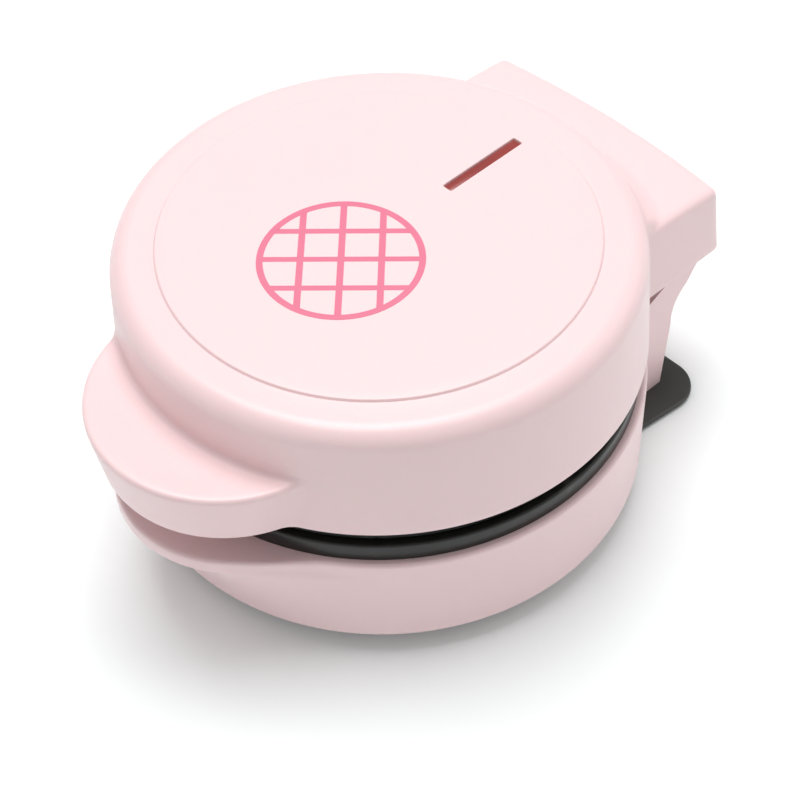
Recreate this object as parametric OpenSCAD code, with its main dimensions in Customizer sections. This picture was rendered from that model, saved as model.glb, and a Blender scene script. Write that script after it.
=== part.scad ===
// Round countertop waffle maker with a hinged lid, in millimetres.
// Origin: on the table, under the centre of the round body. +Z is up, the handle
// points along -Y and the hinge lies along X behind the body.

/* [Body] */
// Diameter of the lid at its rim
body_d = 130; // [108:1:160]
// Height of the base shell, from its lower edge to its rim
base_h = 28.5; // [23.5:0.5:36]
// Height of the lid shell, from its rim to its flat top
lid_h = 31.6; // [26:0.2:40]
// Free height between the table and the base shell's lower edge
ground_gap = 5.2; // [4.2:0.2:8]
// Wall thickness of the base and lid shells
shell_t = 2.2; // [1.8:0.1:2.8]
// How far the base and lid walls lean in over their height
wall_draft = 1.2; // [0.4:0.2:2]
// Radius of the lid's rounded shoulder
shoulder_r = 5; // [3:0.5:7]
// Radius of the base shell's rounded lower edge
base_edge_r = 2.6; // [1.6:0.2:3.2]
// Rise of the raised disc on the lid
disc_step = 0.7; // [0.4:0.1:1.2]
// Flat margin between the lid's shoulder and its raised disc
disc_margin = 6.1; // [3:0.1:9]

/* [Handle and lip] */
// Radius of the handle's round outline at its top
handle_r = 33.8; // [26:0.2:40]
// How far the handle reaches past the lid's rim
handle_reach = 17.5; // [14:0.5:21]
// Height of the handle
handle_h = 15.6; // [12:0.2:19]
// How far the handle's side leans in towards its underside
handle_draft = 2.6; // [1:0.2:3.4]
// Radius of the lip on the base, under the handle
lip_r = 30.5; // [24:0.5:36]
// How far the lip reaches past the body
lip_reach = 13; // [8:0.5:16]
// Thickness of the lip's edge
lip_t = 4; // [3:0.5:6]
// Thickness of the cover under the handle
handle_cover_t = 1.8; // [1.4:0.2:2.4]

/* [Rear block and hinge] */
// Half width of the rear block at its top
block_half_w = 36.8; // [30:0.2:44]
// How far the rear block reaches past the lid's rim, at its middle
block_reach = 18.8; // [16.5:0.2:24]
// Height of the rear block's top edge above the lid's rim
block_h = 18.4; // [15:0.2:23]
// How much lower than the lid's rim the rear block ends
block_drop = 1.2; // [0.6:0.2:1.8]
// How far the block's sides and back lean in over its height
block_draft = 1.6; // [0.6:0.2:2.4]
// Radius of the rear face seen from above
block_bulge_r = 265; // [180:5:400]
// Slope of the block's top, in degrees
block_slope = 4.5; // [0:0.5:6]
// Distance from the lid's rim back to the hinge axis
hinge_back = 7.5; // [6:0.1:9]
// Distance from the lid's rim down to the hinge axis
hinge_drop = 4.4; // [3.6:0.1:5.4]
// Radius of the steel hinge pins
pin_r = 2; // [1.6:0.1:2.4]
// Radial running clearance of the lid's ears on the pins
pin_clear = 0.05; // [0.02:0.01:0.1]
// Width of each lid ear along the hinge axis
ear_w = 6; // [4:0.5:8]
// Distance of each ear's middle from the centre line
ear_x = 23; // [18:0.5:24]
// Gap between the pedestal's sides and the rear block's walls
side_gap = 0.8; // [0.5:0.1:1.6]
// How far the pedestal's rear face stands behind the lid's rim
pedestal_reach = 3.4; // [2:0.2:5]
// Radius of the pedestal's flare under the hinge
flare_r = 11.3; // [9:0.1:14]

/* [Plates and rings] */
// Visible height of the lower ring above the base's rim
lower_ring_h = 5; // [4:0.2:6]
// Visible height of the upper ring below the lid's rim
upper_ring_h = 5.2; // [4:0.2:6.6]
// Gap between the closed rings
ring_gap = 0.5; // [0.3:0.1:1]
// Ledge of the base's rim outside the lower ring
ledge_w = 1.6; // [1:0.1:1.9]
// Ledge of the lid's rim outside the upper ring
upper_ledge_w = 3.3; // [3:0.1:3.8]
// Distance from the lid's rim in to the plates' edge
plate_inset = 8.6; // [8:0.1:10]
// Width of the plates' flat rims
plate_rim_w = 3.4; // [2.4:0.2:5]
// Depth of the cooking cavity in each plate
cavity_depth = 8.5; // [7:0.5:10]
// Floor thickness of each plate
plate_t = 2.5; // [2:0.1:3]
// Height of the studs on each plate
stud_h = 6; // [4:0.5:6.5]
// Side of each square stud
stud_w = 8; // [6:0.5:9]
// Distance between the middles of neighbouring studs
stud_pitch = 12; // [10.5:0.5:15]
// Radius of the tubular heating elements
element_tube_r = 3.1; // [2.6:0.1:3.4]
// Distance from the cavity's wall in to the element's middle
element_inset = 17; // [12:0.5:20]
// Depth of the heat shields behind the plates
shield_depth = 8.4; // [8:0.1:9.6]
// Sheet thickness of the heat shields
shield_t = 0.6; // [0.5:0.1:1]

/* [Lamp window] */
// Length of the lamp window
lens_l = 24.4; // [18:0.2:28]
// Width of the lamp window
lens_w = 2.8; // [2.2:0.1:4]
// Distance from the body's centre to the lamp window's middle
lens_y = 34.7; // [28:0.1:36]
// How far the lens sits below the lid's surface
lens_recess = 0.4; // [0:0.1:0.8]

/* [Feet and inlet] */
// Radius of the front feet
front_foot_r = 6; // [4.5:0.5:8]
// Distance of the front feet from the body's centre
front_foot_at = 46; // [38:1:46]
// Half width of the rear foot plate
foot_half_w = 43.2; // [38:0.2:52]
// How far the rear foot plate reaches behind the pedestal
foot_reach = 5.1; // [3:0.1:9]
// Corner radius of the rear foot plate
foot_corner_r = 9.5; // [6:0.5:11]
// Height of the rear foot plate's upper face above the table
foot_top = 2; // [1.6:0.1:2.6]
// Radius of the cord's hole in its bushing
cord_r = 3.2; // [2.6:0.1:3.6]
// Height of the cord's middle above the table
cord_z = 14; // [12:0.5:17]

/* [Hidden] */
$fn = 96;
eps = 0.01;             // overlap that joins touching solids
far = 200;              // reach of cutters that pass right through
fit_gap = 0.2;         // all-round gap of parts that drop into one another
screw_r = 1.4;         // shank radius of every self-tapping screw
screw_gap = 0.05;      // radial gap between a shank and its hole
head_r = 2.3;          // screw head radius
head_h = 1.3;          // screw head height

pink = [0.96, 0.88, 0.88];
black = [0.12, 0.12, 0.12];
dark_coat = [0.16, 0.16, 0.17];
steel = [0.74, 0.74, 0.75];
sheet_metal = [0.8, 0.8, 0.8];
ceramic = [0.93, 0.91, 0.86];
lens_red = [0.55, 0.12, 0.12];
wire_red = [0.7, 0.15, 0.12];

// Heights, from the table up
body_r = body_d / 2;
base_z0 = ground_gap;
base_z1 = base_z0 + base_h;
lower_ring_z1 = base_z1 + lower_ring_h;
upper_ring_z0 = lower_ring_z1 + ring_gap;
parting_z = lower_ring_z1 + ring_gap / 2;
lid_z0 = upper_ring_z0 + upper_ring_h;
lid_z1 = lid_z0 + lid_h;
disc_z = lid_z1 + disc_step;
hinge_y = body_r + hinge_back;
hinge_z = lid_z0 - hinge_drop;

// Radii of the round body
base_r0 = body_r - wall_draft / 4;
base_r1 = body_r + wall_draft / 4;
base_in_r = base_r0 - shell_t;
base_top_edge_r = 1.4;
lid_shoulder_r = body_r - wall_draft;
disc_r = lid_shoulder_r - shoulder_r - disc_margin;
lid_in_r = body_r - shell_t - 0.4;
lower_ring_r = body_r - ledge_w;
upper_ring_r = body_r - upper_ledge_w;
plate_r = body_r - plate_inset;
ring_in_r = plate_r + fit_gap;
cavity_r = plate_r - plate_rim_w;
plate_back = ring_gap / 2 + cavity_depth + plate_t; // behind the parting plane
ring_screw_at = plate_r + 2.8;

// Bottom cover and the towers that it is screwed to
cover_t = 1.6;
cover_z1 = base_z0 + 1.8;
cover_r = base_r0 - base_edge_r - 1.2;
cover_seat_w = 1;
tower_r = 2.8;
tower_at = cover_r - cover_seat_w - tower_r - 0.3;
tower_angles = [45, 135, 225, 315];
side_angles = [0, 90, 180, 270];
boss_r = 3.6;            // bosses inside the lid for the ring's screws
post_r = 2.6;            // posts inside the lid for the lamp holder
yoke_post_r = 3;         // bosses inside the rear block for the hinge yoke
handle_post_r = 2.8;     // bosses inside the handle for its cover

// Heat shields and elements, measured back from the parting plane
shield_r = tower_at - tower_r - 0.6;
shield_flange_r = ring_screw_at + 2;
element_r = cavity_r - element_inset;
element_back = plate_back + element_tube_r + 0.2;
element_end_x = 8;
element_end_l = 9;

// Rear block
block_z0 = lid_z0 - block_drop;
block_bottom_hw = block_half_w + block_draft * 0.75;
block_y1 = body_r + block_reach;
block_ht = block_h + block_drop;

// Pedestal that carries the hinge
pedestal_hw = block_bottom_hw - shell_t - side_gap;
pedestal_y1 = body_r + pedestal_reach;
pedestal_knee_z = base_z1 + 1.4;
pedestal_top_z = hinge_z + 0.3;
knuckle_behind = 5.2;   // solid of the knuckles behind the hinge axis
knuckle_before = 2.9;   // and in front of it
knuckle_w = 5.5;        // width of a knuckle beside an ear
ramp_l = 14;            // from the hinge axis forward to the foot of the pedestal's ramp
pedestal_lip_y = hinge_y + knuckle_behind;
pedestal_run_in = 15;   // how far the pedestal runs in under the body's rim
pedestal_y0 = body_r - pedestal_run_in;
pedestal_in_top = pedestal_knee_z - shell_t;
flare_turn = 57;
flare_z0 = hinge_z - 6.5 - flare_r * sin(flare_turn);

// Knuckles, ears and the curved cover over the hinge
pocket_before = 5;      // pocket between the knuckles, in front of the axis
pocket_depth = 4.2;     // and below it
ear_r = 5;
ear_gap = 0.3;
slot_r = ear_r + 0.5;
trough_r0 = 5.8;
trough_r1 = 7;
yoke_t = 1.6;
yoke_hw = block_bottom_hw - shell_t - 0.3;
yoke_boss_x = 30;
yoke_boss_y = hinge_y - 10;

// Screws and pads of the rear foot
foot_boss_x = pedestal_hw - shell_t - 8;
foot_boss_y = pedestal_y1 - shell_t - 2.6;
foot_boss_r = 3.2;
pad_r = 5;
pad_x = foot_half_w - 11;
pad_y = pedestal_y1 - 17;
front_angles = [215, 325];
foot_stem_r = 2;         // stem of a front foot, pressed through the cover

// Handle and lip
handle_y = -(body_r + handle_reach - handle_r);
lip_y = -(body_r + lip_reach - lip_r);
handle_screw_x = 14;
handle_screw_y = -(body_r + 4.4);

// Terminal block on the bottom cover, between the thermostat and the element's ends
terminal_y0 = 14;
terminal_l = 11;
terminal_h = 8;

// Lamp window and its holder
lens_flange = 1.2;
holder_z = lid_z1 - shell_t - 7.6;
lamp_r = 2.1;
post_y = lens_l / 2 + 4; // posts beyond the ends of the window
lamp_screw_r = screw_r - 0.4;

// A horizontal cylinder along X
module rod_x(r, l) {
    rotate([0, 90, 0]) cylinder(r = r, h = l, center = true);
}

// A horizontal cylinder along Y
module rod_y(r, l) {
    rotate([90, 0, 0]) cylinder(r = r, h = l, center = true);
}

// Children repeated round the body at the given angles
module around(angles, at) {
    for (a = angles) rotate(a) translate([at, 0, 0]) children();
}

// Turns a part drawn behind the lower side of the parting plane to face up or down
module lower_side() {
    translate([0, 0, parting_z]) children();
}
module upper_side() {
    translate([0, 0, parting_z]) mirror([0, 0, 1]) children();
}

// Points of a quarter turn from angle a0 to a1 about a centre
function arc(c, r, a0, a1, steps = 8) =
    [for (i = [0:steps]) c + r * [cos(a0 + (a1 - a0) * i / steps), sin(a0 + (a1 - a0) * i / steps)]];

// Solid of the round base body, with its rounded lower and upper edges
module base_body() {
    low = arc([base_r0 - base_edge_r, base_z0 + base_edge_r], base_edge_r, -90, 0);
    high = arc([base_r1 - base_top_edge_r, base_z1 - base_top_edge_r], base_top_edge_r, 0, 90);
    rotate_extrude() polygon(concat([[0, base_z0]], low, high, [[0, base_z1]]));
}

// Lip under the handle, drawn in by inset on its outside faces
module lip_body(inset) {
    hull() {
        translate([0, lip_y, base_z1 - lip_t + inset * 0.6])
            cylinder(r = lip_r - inset, h = lip_t - inset * 1.6, $fn = 48);
        translate([0, -body_r + lip_r + 4, base_z0 + base_edge_r + inset])
            cylinder(r = lip_r - inset, h = 6, $fn = 48);
    }
}

// Side outline of the pedestal, drawn in by t
function pedestal_outline(t) = concat(
    [[pedestal_y0 + t, foot_top - (t > 0 ? 1 : 0)], [pedestal_y1 - t, foot_top - (t > 0 ? 1 : 0)]],
    [for (i = [0:8]) let (a = t > 0 ? flare_inner_turn(t) * i / 8 : flare_turn * i / 8)
        [pedestal_y1 + flare_r - (flare_r + t) * cos(a), flare_z0 + (flare_r + t) * sin(a)]],
    t > 0 ? [[pedestal_y0 + t, pedestal_in_top]] : [
        [pedestal_lip_y, hinge_z - 1],
        [pedestal_lip_y - 1.2, pedestal_top_z],
        [hinge_y - knuckle_before, pedestal_top_z],
        [hinge_y - ramp_l, pedestal_knee_z],
        [pedestal_y0, pedestal_knee_z]
    ]);

// Turn of the inner flare at which it meets the pedestal's flat ceiling
function flare_inner_turn(t) = asin(min(0.98, (pedestal_in_top - flare_z0) / (flare_r + t)));

module pedestal_body(t) {
    rotate([90, 0, 90])
        linear_extrude(height = 2 * (pedestal_hw - t), center = true)
            polygon(pedestal_outline(t));
}

// Slots in the pedestal for the lid's ears, open to the top and to the back
module ear_slots() {
    for (s = [-1, 1]) translate([s * ear_x, hinge_y, hinge_z]) {
        w = ear_w + 2 * ear_gap;
        rod_x(slot_r, w);
        translate([-w / 2, -slot_r, 0]) cube([w, 4 * slot_r, 3 * slot_r]);
        translate([-w / 2, 0, -slot_r]) cube([w, 4 * slot_r, 2 * slot_r]);
    }
}

// Holes of the hinge pins, from the pedestal's middle to just inside its sides
module pin_rods(r) {
    x0 = ear_x - ear_w / 2 - knuckle_w;
    x1 = pedestal_hw - 2;
    for (s = [-1, 1]) translate([s * (x0 + x1) / 2, hinge_y, hinge_z]) rod_x(r, x1 - x0);
}

// Pockets beside the knuckles, which leave a solid knuckle each side of an ear
module knuckle_pockets() {
    half = ear_x - ear_w / 2 - knuckle_w;
    translate([-half, hinge_y - pocket_before, hinge_z - pocket_depth])
        cube([2 * half, pocket_before + 3.6, 20]);
}

module base_shell() {
    color(pink) difference() {
        union() {
            difference() {
                union() {
                    base_body();
                    lip_body(0);
                    pedestal_body(0);
                }
                difference() {
                    pedestal_body(shell_t);
                    translate([0, 0, cover_z1]) cylinder(r = base_r0, h = base_h * 2);
                }
                lip_body(shell_t);
                translate([0, 0, cover_z1 + 1.6]) cylinder(r = base_in_r, h = 2 * base_h);
                cylinder(r = cover_r - cover_seat_w, h = base_z1);
                cylinder(r = cover_r + fit_gap, h = cover_z1);
            }
            // skirt of the pedestal below the round body
            difference() {
                intersection() {
                    pedestal_body(0);
                    translate([-far / 2, 0, 0]) cube([far, far, cover_z1]);
                }
                translate([-pedestal_hw + shell_t, pedestal_y0 + shell_t, 0])
                    cube([2 * (pedestal_hw - shell_t), pedestal_y1 - pedestal_y0 - 2 * shell_t, 20]);
            }
            // bosses for the rear foot's screws
            for (s = [-1, 1]) translate([s * foot_boss_x, foot_boss_y, foot_top + 3.7])
                cylinder(r = foot_boss_r, h = 14, $fn = 48);
        }
        // room for the lower ring where it stands above the rim
        translate([0, 0, base_z1]) cylinder(r = lower_ring_r + 0.3, h = far);
        ear_slots();
        knuckle_pockets();
        pin_rods(pin_r);
        // way for the leads into the pedestal
        translate([-10, base_in_r - 3, cord_z - 7]) cube([20, shell_t + 3.6, 14]);
        // hole for the cord's bushing
        translate([0, pedestal_y1, cord_z]) rod_y(cord_r + 1.6, 4 * shell_t);
        for (s = [-1, 1]) translate([s * foot_boss_x, foot_boss_y, 0])
            cylinder(r = screw_r + screw_gap, h = foot_top + 12, $fn = 48);
    }
}

module bottom_cover() {
    color(black) difference() {
        translate([0, 0, cover_z1 - cover_t]) cylinder(r = cover_r, h = cover_t);
        translate([-pedestal_hw - fit_gap, pedestal_y0 - fit_gap, 0])
            cube([2 * (pedestal_hw + fit_gap), body_r, base_z1]);
        around(tower_angles, tower_at) cylinder(r = screw_r + screw_gap, h = base_z1, $fn = 48);
        around(front_angles, front_foot_at) cylinder(r = foot_stem_r + 0.1, h = base_z1, $fn = 48);
        // cooling slots
        for (i = [-3:3]) translate([i * 7 - 1.2, -14, 0]) cube([2.4, 28, base_z1]);
    }
}

module bottom_cover_screws() {
    color(steel) around(tower_angles, tower_at) screw(cover_z1 - cover_t, 9);
}

// Self-tapping screw with its head just below height z and its shank going up
module screw(z, l) {
    translate([0, 0, z - head_h]) cylinder(r = head_r, h = head_h, $fn = 48);
    translate([0, 0, z - head_h]) cylinder(r = screw_r, h = l + head_h, $fn = 48);
}

// Outline of the rear foot plate: broad and round behind, slightly narrower in front
module rear_foot_outline() {
    y1 = pedestal_y1 + foot_reach - foot_corner_r;
    hull() for (s = [-1, 1]) {
        translate([s * (foot_half_w - foot_corner_r), y1]) circle(r = foot_corner_r);
        translate([s * (foot_half_w - 2.5 - foot_corner_r), y1 - 24]) circle(r = foot_corner_r);
    }
}

module rear_foot() {
    in_hw = pedestal_hw - shell_t - fit_gap;
    in_y0 = pedestal_y0 + shell_t + fit_gap;
    in_y1 = pedestal_y1 - shell_t - fit_gap;
    color(black) difference() {
        union() {
            translate([0, 0, 0.5]) linear_extrude(height = foot_top - 0.5) rear_foot_outline();
            translate([-in_hw, in_y0, foot_top - 0.5]) cube([2 * in_hw, in_y1 - in_y0, 4]);
        }
        for (s = [-1, 1]) translate([s * foot_boss_x, foot_boss_y, 0]) {
            cylinder(r = screw_r + 0.1, h = 20, $fn = 48);
            cylinder(r = head_r + 0.2, h = foot_top, $fn = 48);
        }
        for (s = [-1, 1]) translate([s * pad_x, pad_y, 0])
            cylinder(r = pad_r + fit_gap, h = 1, $fn = 48);
    }
}

module rear_foot_screws() {
    color(steel) for (s = [-1, 1]) translate([s * foot_boss_x, foot_boss_y, 0]) screw(foot_top, 10);
}

module rear_foot_pads() {
    color(black) for (s = [-1, 1]) translate([s * pad_x, pad_y, 0])
        cylinder(r = pad_r, h = 1, $fn = 48);
}

module front_feet() {
    color(black) around(front_angles, front_foot_at) {
        cylinder(r = front_foot_r, h = cover_z1 - cover_t, $fn = 48);
        cylinder(r = foot_stem_r, h = cover_z1 + 0.8, $fn = 48);
        translate([0, 0, cover_z1]) cylinder(r = 2.8, h = 1, $fn = 48);
    }
}

module cord_bushing() {
    color(black) translate([0, pedestal_y1, cord_z]) difference() {
        union() {
            translate([0, -shell_t / 2, 0]) rod_y(cord_r + 1.5, shell_t);
            translate([0, 0.9, 0]) rod_y(cord_r + 3, 1.8);
            translate([0, -shell_t - 0.9, 0]) rod_y(cord_r + 2.6, 1.8);
        }
        rod_y(cord_r, 30);
    }
}

module hinge_pins() {
    color(steel) pin_rods(pin_r);
}

module lower_ring() {
    z0 = parting_z - plate_back;
    color(black) difference() {
        union() {
            translate([0, 0, z0]) cylinder(r = base_in_r - fit_gap, h = base_z1 - z0 + eps);
            translate([0, 0, base_z1]) cylinder(r = lower_ring_r, h = lower_ring_h);
            around(tower_angles, tower_at) translate([0, 0, cover_z1])
                cylinder(r = tower_r, h = z0 - cover_z1 + 2, $fn = 48);
        }
        cylinder(r = ring_in_r, h = 100);
        around(tower_angles, tower_at) cylinder(r = screw_r, h = cover_z1 + 12, $fn = 48);
        around(side_angles, ring_screw_at) translate([0, 0, z0 - 1])
            cylinder(r = screw_r, h = 8, $fn = 48);
    }
}

module upper_ring() {
    h = plate_back - ring_gap / 2;
    color(black) translate([0, 0, upper_ring_z0]) difference() {
        union() {
            cylinder(r = upper_ring_r, h = h);
            translate([0, 0, upper_ring_h + 0.6]) cylinder(r = lid_in_r - fit_gap, h = 2);
        }
        translate([0, 0, -1]) cylinder(r = ring_in_r, h = 100);
        around(tower_angles, ring_screw_at) translate([0, 0, -1]) {
            cylinder(r = screw_r + screw_gap, h = 100, $fn = 48);
            cylinder(r = head_r + 0.2, h = 1 + head_h + 0.4, $fn = 48);
        }
        around(side_angles, ring_screw_at) translate([0, 0, h - 7])
            cylinder(r = screw_r, h = 100, $fn = 48);
    }
}

module lid_screws() {
    color(black) around(tower_angles, ring_screw_at)
        screw(upper_ring_z0 + head_h + 0.4, plate_back + 6);
}

// Studded floor of a waffle plate, drawn below the parting plane with its studs pointing up
module waffle_plate() {
    n = ceil(cavity_r / stud_pitch);
    reach = cavity_r - 1.5;
    color(dark_coat) {
        translate([0, 0, -plate_back]) cylinder(r = cavity_r, h = plate_t);
        for (i = [-n:n], j = [-n:n])
            let (x = (i + 0.5) * stud_pitch, y = (j + 0.5) * stud_pitch)
                if (norm([abs(x) + stud_w / 2, abs(y) + stud_w / 2]) < reach)
                    translate([x - stud_w / 2, y - stud_w / 2, -cavity_depth - ring_gap / 2 - eps])
                        cube([stud_w, stud_w, stud_h]);
    }
}

// Upright wall and flat rim round a plate's floor
module plate_rim() {
    color(dark_coat) translate([0, 0, -plate_back]) difference() {
        cylinder(r = plate_r, h = plate_back - ring_gap / 2);
        translate([0, 0, -1]) cylinder(r = cavity_r, h = far);
    }
}

module lower_waffle_plate() { lower_side() waffle_plate(); }
module lower_plate_rim() { lower_side() plate_rim(); }
module upper_waffle_plate() { upper_side() waffle_plate(); }
module upper_plate_rim() { upper_side() plate_rim(); }

// Angle that leaves the two element ends side by side at the back
function element_gap_angle() = asin(element_end_x / element_r);

module heating_element() {
    gap_a = element_gap_angle();
    color(steel) translate([0, 0, -element_back]) {
        rotate(90 + gap_a) rotate_extrude(angle = 360 - 2 * gap_a)
            translate([element_r, 0]) circle(r = element_tube_r, $fn = 48);
        for (s = [-1, 1]) rotate(90 + s * gap_a) translate([element_r, 0, -element_end_l]) {
            cylinder(r = element_tube_r + 0.5, h = element_end_l + element_tube_r, $fn = 32);
            translate([0, 0, -4]) cylinder(r = 1.2, h = 5, $fn = 32);
        }
    }
}

module lower_heating_element() { lower_side() heating_element(); }
module upper_heating_element() { upper_side() heating_element(); }

// Bent clips that hold an element against its plate
module element_clips() {
    r_in = element_tube_r + 0.15;
    color(sheet_metal) around([0, 120, 240], element_r) translate([0, 0, -plate_back]) {
        difference() {
            translate([-r_in - 0.8, -3, -2 * r_in - 0.8]) cube([2 * r_in + 1.6, 6, 2 * r_in + 0.8]);
            translate([-r_in, -4, -2 * r_in]) cube([2 * r_in, 8, 2 * r_in + 1]);
        }
        for (s = [-1, 1]) translate([s * (r_in + 2.4) - 2.4, -3, -0.8]) cube([4.8, 6, 0.8]);
    }
}

module lower_element_clips() { lower_side() element_clips(); }
module upper_element_clips() { upper_side() element_clips(); }

// Pressed sheet pan behind a plate, with holes for the element's ends and its middle
module heat_shield(notch_at, notch_r) {
    t = shield_t;
    color(sheet_metal) translate([0, 0, -plate_back]) difference() {
        union() {
            translate([0, 0, -t]) cylinder(r = shield_flange_r, h = t);
            translate([0, 0, -shield_depth]) cylinder(r = shield_r, h = shield_depth - t / 2);
        }
        translate([0, 0, -shield_depth + t]) cylinder(r = shield_r - t, h = far);
        cylinder(r = 10, h = far, center = true);
        around([90], element_r * cos(element_gap_angle()))
            translate([-5, -element_end_x - 5, -far / 2]) cube([10, 2 * element_end_x + 10, far]);
        around(tower_angles, notch_at) cylinder(r = notch_r, h = far, center = true);
        around(side_angles, ring_screw_at) cylinder(r = screw_r + screw_gap, h = far, center = true, $fn = 48);
    }
}

module lower_heat_shield() { lower_side() heat_shield(tower_at, tower_r + 0.3); }
module upper_heat_shield() { upper_side() heat_shield(ring_screw_at, boss_r + 0.3); }

module shield_screws() {
    color(steel) around(side_angles, ring_screw_at) screw(-plate_back - shield_t, 6);
}

module lower_shield_screws() { lower_side() shield_screws(); }
module upper_shield_screws() { upper_side() shield_screws(); }

module thermostat() {
    color(ceramic) lower_side() translate([0, 0, -plate_back]) {
        translate([0, 0, -6]) cylinder(r = 7.8, h = 6);
        translate([0, 0, -13.5]) cylinder(r = 5, h = 8);
        for (s = [-1, 1]) translate([s * 2.5 - 0.4, -1.5, -16.5]) cube([0.8, 3, 4]);
    }
}

module thermostat_bracket() {
    color(sheet_metal) lower_side() translate([0, 0, -plate_back]) difference() {
        union() {
            translate([-12, -7, -6.9]) cube([24, 14, 0.8]);
            for (s = [-1, 1]) translate([s * 11.6 - 0.4, -7, -6.9]) cube([0.8, 14, 6.9]);
            for (s = [-1, 1]) translate([s * 14 - 2.8, -7, -0.8]) cube([5.6, 14, 0.8]);
        }
        cylinder(r = 5.2, h = far, center = true);
    }
}

module thermal_fuse() {
    color(ceramic) lower_side() translate([0, -element_r + 14, -plate_back - 2.4]) {
        rod_x(2.3, 14);
        rod_x(0.6, 26);
    }
}

module terminal_block() {
    color(ceramic) translate([-14, terminal_y0, cover_z1]) difference() {
        cube([28, terminal_l, terminal_h]);
        for (i = [0:2]) translate([5 + 9 * i, 5.5, 3]) cylinder(r = 1.8, h = 10, $fn = 32);
    }
}

// A run of insulated wire through the given points, each stretch run on past its end by a radius
module wire(points, r = 0.9) {
    for (i = [0:len(points) - 2]) {
        d = points[i + 1] - points[i];
        translate(points[i]) rotate([0, acos(d.z / norm(d)), atan2(d.y, d.x)])
            translate([0, 0, -r / 2]) cylinder(r = r, h = norm(d) + r, $fn = 8);
    }
}

module base_leads() {
    end_y = element_r * cos(element_gap_angle());
    end_z = parting_z - element_back - element_end_l - 5.1;
    switch_z = parting_z - plate_back - 17.6;
    back_y = terminal_y0 + terminal_l + 1.2;
    color(wire_red) {
        for (s = [-1, 1]) wire([[s * element_end_x, end_y, end_z], [s * element_end_x, back_y, end_z]]);
        wire([[2.5, 0, switch_z], [2.5, terminal_y0 - 1.2, switch_z]]);
        wire([[0, back_y + 1, cover_z1 + 4], [0, base_in_r - 1, cord_z]], 1.8);
    }
}

// Solid of the round lid, drawn in by t
module lid_body(t) {
    top = arc([lid_shoulder_r - shoulder_r, lid_z1 - shoulder_r], shoulder_r - t, 0, 90);
    rotate_extrude() polygon(concat(
        [[0, lid_z0 - (t > 0 ? 4 : 0)], [body_r - t, lid_z0 - (t > 0 ? 4 : 0)]],
        top,
        [[0, lid_z1 - t]]));
}

// Cone of the handle, drawn in by t
module handle_body(t) {
    translate([0, handle_y, lid_z0 - (t > 0 ? 1 : 0)])
        cylinder(r1 = handle_r - handle_draft - t, r2 = handle_r - t, h = handle_h - t + (t > 0 ? 1 : 0));
}

// Rear block, drawn in by t on its sides, back and top
module block_body(t) {
    z0 = block_z0 - (t > 0 ? 1 : 0);
    y0 = pedestal_y0;
    run = block_y1 - y0;
    intersection() {
        rotate([90, 0, 90]) linear_extrude(height = far, center = true) polygon([
            [y0, z0],
            [block_y1 + 1, z0],
            [block_y1 + 1, block_z0 + block_ht - t],
            [y0, block_z0 + block_ht - t + run * tan(block_slope)]
        ]);
        rotate([90, 0, 0]) linear_extrude(height = 400, center = true) polygon([
            [-block_bottom_hw + t, z0],
            [block_bottom_hw - t, z0],
            [block_half_w - t, block_z0 + block_ht + 3],
            [-block_half_w + t, block_z0 + block_ht + 3]
        ]);
        translate([0, block_y1 - block_bulge_r, z0])
            cylinder(r1 = block_bulge_r - t, r2 = block_bulge_r - t - block_draft * 1.2,
                h = block_ht + 4, $fn = 360);
    }
}

module lid_shell() {
    color(pink) difference() {
        union() {
            difference() {
                union() {
                    lid_body(0);
                    translate([0, 0, lid_z1 - 1]) cylinder(r = disc_r, h = 1 + disc_step);
                    handle_body(0);
                    block_body(0);
                }
                lid_body(shell_t);
                difference() {
                    block_body(shell_t);
                    cylinder(r = body_r, h = far);
                }
                difference() {
                    handle_body(shell_t);
                    cylinder(r = body_r, h = far);
                }
            }
            // bosses for the screws that hold the upper ring
            intersection() {
                around(tower_angles, ring_screw_at) translate([0, 0, parting_z + plate_back])
                    cylinder(r = boss_r, h = lid_z1 - parting_z - plate_back - 1, $fn = 48);
                lid_body(0);
            }
            // bosses for the hinge yoke's screws
            for (s = [-1, 1]) translate([s * yoke_boss_x, yoke_boss_y, block_z0 + 0.2 + yoke_t])
                cylinder(r = yoke_post_r, h = block_ht - yoke_t + 0.2, $fn = 48);
            // bosses for the handle cover's screws
            for (s = [-1, 1]) translate([s * handle_screw_x, handle_screw_y, lid_z0 + handle_cover_t])
                cylinder(r = handle_post_r, h = handle_h - handle_cover_t - 1, $fn = 48);
            // posts for the lamp holder
            for (s = [-1, 1]) translate([0, lens_y + s * post_y, holder_z + 1.2])
                cylinder(r = post_r, h = lid_z1 - holder_z - 2.2, $fn = 48);
        }
        translate([-lens_w / 2, lens_y - lens_l / 2, lid_z0]) cube([lens_w, lens_l, lid_h * 2]);
        // way for the leads into the rear block
        translate([-8, body_r - 10, lid_z0 + 10]) cube([16, 14, 6]);
        around(tower_angles, ring_screw_at) cylinder(r = screw_r, h = parting_z + plate_back + 8, $fn = 48);
        for (s = [-1, 1]) {
            translate([s * yoke_boss_x, yoke_boss_y, 0]) cylinder(r = screw_r, h = block_z0 + 12, $fn = 48);
            translate([s * handle_screw_x, handle_screw_y, 0])
                cylinder(r = screw_r, h = lid_z0 + 10, $fn = 48);
            translate([0, lens_y + s * post_y, 0]) cylinder(r = lamp_screw_r, h = lid_z1 - 2.6, $fn = 48);
        }
    }
}

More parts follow.
